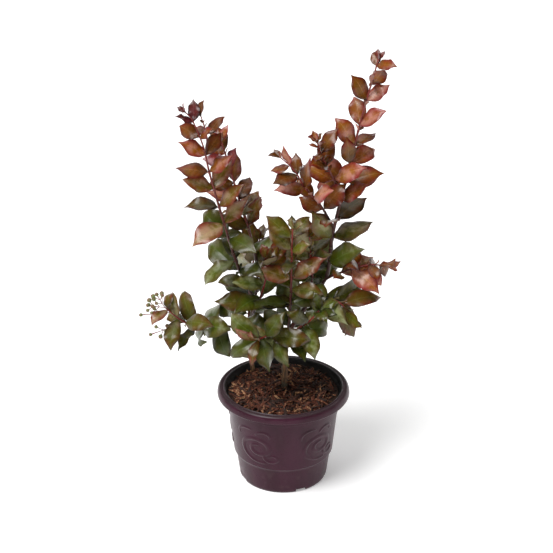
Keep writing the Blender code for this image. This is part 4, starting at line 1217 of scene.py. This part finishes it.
class Finish:
    """A new finish and its shader, with the shader's own numbers set."""

    def __init__(self, name, **numbers):
        self.made = bpy.data.materials.new(name)
        self.made.use_nodes = True
        self.tree = self.made.node_tree
        self.shader = self.tree.nodes["Principled BSDF"]
        for key, value in numbers.items():
            self.shader.inputs[key.replace("_", " ")].default_value = value

    def add(self, kind, inputs=(), **settings):
        return add(self.tree, kind, inputs, **settings)

    def attribute(self, name):
        return self.add("ShaderNodeAttribute", attribute_name=name).output(2)

    def place(self):
        """Object coordinates, in metres."""
        return self.add("ShaderNodeTexCoord").output(3)

    def noise(self, size, detail=3.0, stretch=(1.0, 1.0, 1.0)):
        """Soft noise from -1 to 1, with patches about `size` millimetres wide."""
        place = self.add("ShaderNodeMapping", {"Vector": self.place(), "Scale": stretch})
        made = self.add("ShaderNodeTexNoise", {"Vector": place, "Scale": 1000 / size, "Detail": detail})
        return self.add("ShaderNodeMapRange", {0: made, 1: 0.3, 2: 0.7, 3: -1.0, 4: 1.0})

    def worn(self, colour, rough=None, relief=None, strength=1.0, depth=0.0):
        """The material, with its colour, roughness and fine relief, `depth` in metres, led to the shader."""
        ends = {"Base Color": colour, "Roughness": rough}
        if relief:
            numbers = {"Strength": strength, "Distance": depth}
            ends["Normal"] = self.add("ShaderNodeBump", {**numbers, "Height": relief})
        for key, signal in ends.items():
            if signal:
                self.tree.links.new(signal.socket, self.shader.inputs[key])
        return self.made


VEINS = 7.0  # side veins on each half of a blade
VEIN_LEAN = 0.9  # how much further up they meet the edge, in vein spacings
STALK_RED = "6e3432"


def leaf_finish(name, middle, edge, vein, under, painted_sheen):
    """A waxy leaf: one hue along the midrib and another at the edge, paler veins, and a dull paler underside.

    The wax gives a soft broad gloss, a pale painted sheen in patches stands for its highlights, and the veins
    give a fine quilted relief. Painted shade darkens the blade near its stalk and towards its edges, which are
    also darker in their own colour.
    """
    leaf = Finish(name, Specular_IOR_Level=0.06, Coat_Weight=0.72, Coat_Roughness=0.28, IOR=1.45)
    place = leaf.add("ShaderNodeSeparateXYZ", {0: leaf.add("ShaderNodeUVMap", uv_map="blade")})
    across, reach = (place * 2.0 - 1.0).maths("ABSOLUTE"), place.output(1)
    tone, patches = leaf.attribute("tone"), leaf.noise(13.0)
    underside = leaf.attribute("under").ramp(0.50, 0.58)
    edging = across * 0.68 + patches * 0.33 + tone * 0.42 + reach.ramp(0.45, 1.0, 0.0, 0.40)
    colour = edging.ramp(0.10, 1.15).blend(middle, edge)
    # Painted sheen: a pale highlight colour laid over patches of the face and kept off the edges.
    painted_sheen_share = (tone + patches * 0.42).ramp(0.55, 1.05, 0.0, 0.56) * across.ramp(0.30, 0.95, 1.0, 0.12)
    colour = painted_sheen_share.blend(colour, painted_sheen)
    phase = (reach * VEINS - across * VEIN_LEAN).maths("FRACT")
    side_vein = ((phase - 0.5).maths("ABSOLUTE") * 2.0).ramp(0.80, 1.0) * across.ramp(0.9, 0.6)
    midrib = across.ramp(0.10, 0.03)
    colour = ((side_vein * 0.35).maths("MAXIMUM", midrib) * 0.24).blend(colour, vein)
    colour = (reach.ramp(0.10, 0.04) * 0.9).blend(colour, STALK_RED)
    colour = (underside * 0.75).blend(colour, under)
    shade = tone * 0.86 + 0.48 + patches * 0.14 + leaf.noise(2.5) * 0.06
    # Painted shade: darker towards the edges, where the margin is also darker in its own colour, and darker
    # towards the stalk, where neighbouring leaves shade it.
    shade = shade - across.ramp(0.55, 1.0, 0.0, 0.26) - reach.ramp(0.50, 0.08, 0.0, 0.24)
    hue = leaf.noise(22.0) * 0.012 + 0.5
    colour = leaf.add("ShaderNodeHueSaturation", {"Hue": hue, "Value": shade, "Color": colour})
    quilt = (phase * math.pi).maths("SINE") * 0.6 + leaf.noise(1.2) * 0.18 - midrib * 0.6
    return leaf.worn(colour, patches * 0.05 + 0.36 + underside * 0.22, quilt, 0.9, 0.0007)


def litter_finish(name, dark, mid, pale, spread):
    """Composted pine bark: dark fibres with rusty and tan splits, rough and slightly moist."""
    bark = Finish(name, Roughness=0.78)
    grain = bark.noise(2.6)
    value = bark.attribute("tone") + grain * spread
    colour = value.ramp(0.80, 1.10).blend(value.ramp(0.15, 0.80).blend(dark, mid), pale)
    return bark.worn(colour, None, grain, 0.8, 0.0006)


def bark_finish():
    """Crape myrtle bark: smooth tan inner bark under thin grey-brown flakes, drawn out along the stem."""
    bark = Finish("crape myrtle bark", Roughness=0.75)
    long, flakes = bark.noise(3.0, 5.0, (1.0, 1.0, 0.22)), bark.noise(9.0, 4.0, (1.0, 1.0, 0.35))
    colour = flakes.ramp(0.15, 0.45).blend(long.ramp(-0.7, 0.8).blend("4c3826", "826040"), "5a5242")
    return bark.worn(colour, None, long, 0.7, 0.0007)


def young_finish():
    """Young shoots: smooth wine-red skin that darkens to brown wood towards the foot, with a slight sheen."""
    bark = Finish("young crape myrtle shoot", Roughness=0.42, Specular_IOR_Level=0.45)
    streaks = bark.noise(2.2, 3.0, (1.0, 1.0, 0.25))
    colour = (bark.attribute("tone") + streaks * 0.15).ramp(0.15, 0.95).blend("38190f", "7a2620")
    return bark.worn(colour, None, streaks, 0.4, 0.0003)


def bud_finish():
    """Flower buds: green at the base and flushed brown-red at the point, with a dull wax."""
    bud = Finish("crape myrtle flower bud", Roughness=0.5)
    value = bud.attribute("tone") + bud.noise(2.0) * 0.2
    return bud.worn(value.ramp(0.3, 1.0).blend("6f7a45", "75503c"))


def pot_finish():
    """Injection-moulded polypropylene, aubergine: satin, with faint flow streaks.

    Dry soil dusts it near the floor, and the rim's flat top is tinted a dark grey.
    """
    pot = Finish("injection-moulded polypropylene, aubergine", Specular_IOR_Level=0.21, IOR=1.49)
    height = pot.add("ShaderNodeSeparateXYZ", {0: pot.place()}).output(2)
    colour = pot.noise(30.0, 3.0, (1.0, 1.0, 0.35)).ramp(-1.0, 1.0).blend("30101e", "3b1728")
    dust = pot.noise(14.0, 6.0).ramp(0.1, 0.9) * (height.ramp(0.050, 0.0) + 0.25)
    colour = (dust * 0.07).blend(colour, "8a7a72")
    # The rim's flat top turns dark grey.
    colour = height.ramp(0.1475, 0.1497, 0.0, 0.5).blend(colour, "3c3636")
    fine = pot.noise(1.2, 2.0)
    return pot.worn(colour, fine * 0.03 + 0.30 + dust * 0.2, fine, 0.15, 0.0002)


def liner_finish():
    """The pot's black inner layer, the same plastic: satin, dusty with bark fines above the mix."""
    liner = Finish("injection-moulded polypropylene, black", IOR=1.49)
    dust = liner.noise(6.0, 6.0).ramp(0.0, 0.9)
    return liner.worn((dust * 0.35).blend("100f10", "2c241e"), dust * 0.3 + 0.36)


def bed_finish():
    """Moist bark fines: nearly black crumbs between the chips."""
    bed = Finish("composted bark fines", Roughness=0.9)
    crumbs = bed.noise(1.5, 5.0)
    return bed.worn(crumbs.ramp(-0.6, 1.0).blend("28140a", "4c2c1c"), None, crumbs, 1.0, 0.001)


def floor_finish():
    """A matt white sheet lit from below as well, which keeps the shadows on it faint."""
    floor = Finish("matt white sheet on a light table", Roughness=0.9, Emission_Strength=TABLE_GLOW,
                   Emission_Color=srgb("ffffff"), Base_Color=srgb("f4f4f4"))
    return floor.made


LEAF_HUES = {
    # What it is, then its colours along the midrib, at the edge, on veins, on the underside and in its painted
    # sheen
    "wine": ("wine-red new growth", "82342c", "5a151b", "a87874", "bc9498", "c0a0a0"),
    "copper": ("copper", "8a520c", "74130a", "b88250", "b88878", "b08070"),
    "bronze": ("bronze", "6a580c", "70220c", "968450", "a09474", "a08c70"),
    "olive": ("olive", "585a0a", "5a3608", "7e7c44", "8c9060", "908c68"),
    "green": ("green", "4a550a", "4a3f0a", "6c7c44", "8c966c", "848c64"),
}


# Studio

CAMERA_PLACE = (-0.0104, -2.118, 1.335)
CAMERA_PITCH = 25.34  # degrees below level
SENSOR = 36.0
CAMERA_LENS = SENSOR * 1600 / 553  # a focal length of 1600 pixels, on a frame of 553
LIGHTS = (
    # Name, strength in watts a square metre, the sky's width it fills in degrees, and where it stands
    ("key", 3.1, 34, (-1.3, -1.1, 2.6)),
    ("top", 1.0, 56, (-0.4, 0.8, 2.2)),
)
ROOM_LIGHT = 0.03
TABLE_GLOW = 0.32
SWEEP_RADIUS = 16.0  # the floor's flat part, in metres
SWEEP_HEIGHT = 6.0
SWEEP_COLUMNS = 96


def stand(name, data, place, turn):
    """A camera or lamp, or the floor, put in the scene."""
    obj = bpy.data.objects.new(name, data)
    obj.location = place
    obj.rotation_euler = turn
    bpy.context.scene.collection.objects.link(obj)
    return obj


def add_studio():
    """The camera, two soft lights, and a white sweep: a disc whose rim curves up into a low wall."""
    scene = bpy.context.scene
    data = bpy.data.cameras.new("camera")
    data.sensor_width = SENSOR
    data.lens = CAMERA_LENS
    scene.camera = stand("camera", data, CAMERA_PLACE, (math.radians(90 - CAMERA_PITCH), 0, 0))
    for name, strength, wide, (x, y, z) in LIGHTS:
        data = bpy.data.lights.new(name, "SUN")
        data.energy = strength
        data.angle = math.radians(wide)
        stand(name, data, (x, y, z), (math.atan2(math.hypot(x, y), z), 0, math.atan2(x, -y)))
    scene.world = bpy.data.worlds.new("soft room")
    scene.world.use_nodes = True
    sky = scene.world.node_tree.nodes["Background"].inputs
    sky["Color"].default_value = srgb("ffffff")
    sky["Strength"].default_value = ROOM_LIGHT
    scene.view_settings.view_transform = "Standard"
    bend = np.radians(np.arange(0, 91, 10))[:, None]
    radius = SWEEP_RADIUS + SWEEP_HEIGHT * np.sin(bend)
    rings = lathed(radius, SWEEP_HEIGHT * (1 - np.cos(bend)), SWEEP_COLUMNS)
    faces = [tuple(range(SWEEP_COLUMNS)), *grid_faces(len(bend), SWEEP_COLUMNS)[:, ::-1].tolist()]
    floor = bpy.data.meshes.new("floor")
    floor.from_pydata(rings.reshape(-1, 3), [], faces)
    floor.materials.append(floor_finish())
    stand("floor", floor, (0, 0, 0), (0, 0, 0))


def build():
    leaf_finishes = {
        tint: leaf_finish("waxy leaf, " + name, *hues) for tint, (name, *hues) in LEAF_HUES.items()
    }
    finishes = {
        "pot": pot_finish(), "liner": liner_finish(), "bed": bed_finish(), "bark": bark_finish(),
        "young": young_finish(), "bud": bud_finish(),
        "chips": litter_finish("composted pine bark chips", "2a1409", "6a341d", "c0926a", 0.24),
        "splinters": litter_finish("dry bark splinters", "5a3422", "946644", "c8a47c", 0.25),
    }
    nodes, grown = stems()
    leaves = foliage(nodes, bud_sprays(nodes, RULE_BUDS))
    add_studio()
    add_pot(finishes)
    add_bed(finishes)
    add_litter(finishes)
    add_stems(grown, leaves, finishes)
    add_buds(bud_sprays(nodes, BUDS), finishes)
    add_leaves(leaves, leaf_finishes)


build()
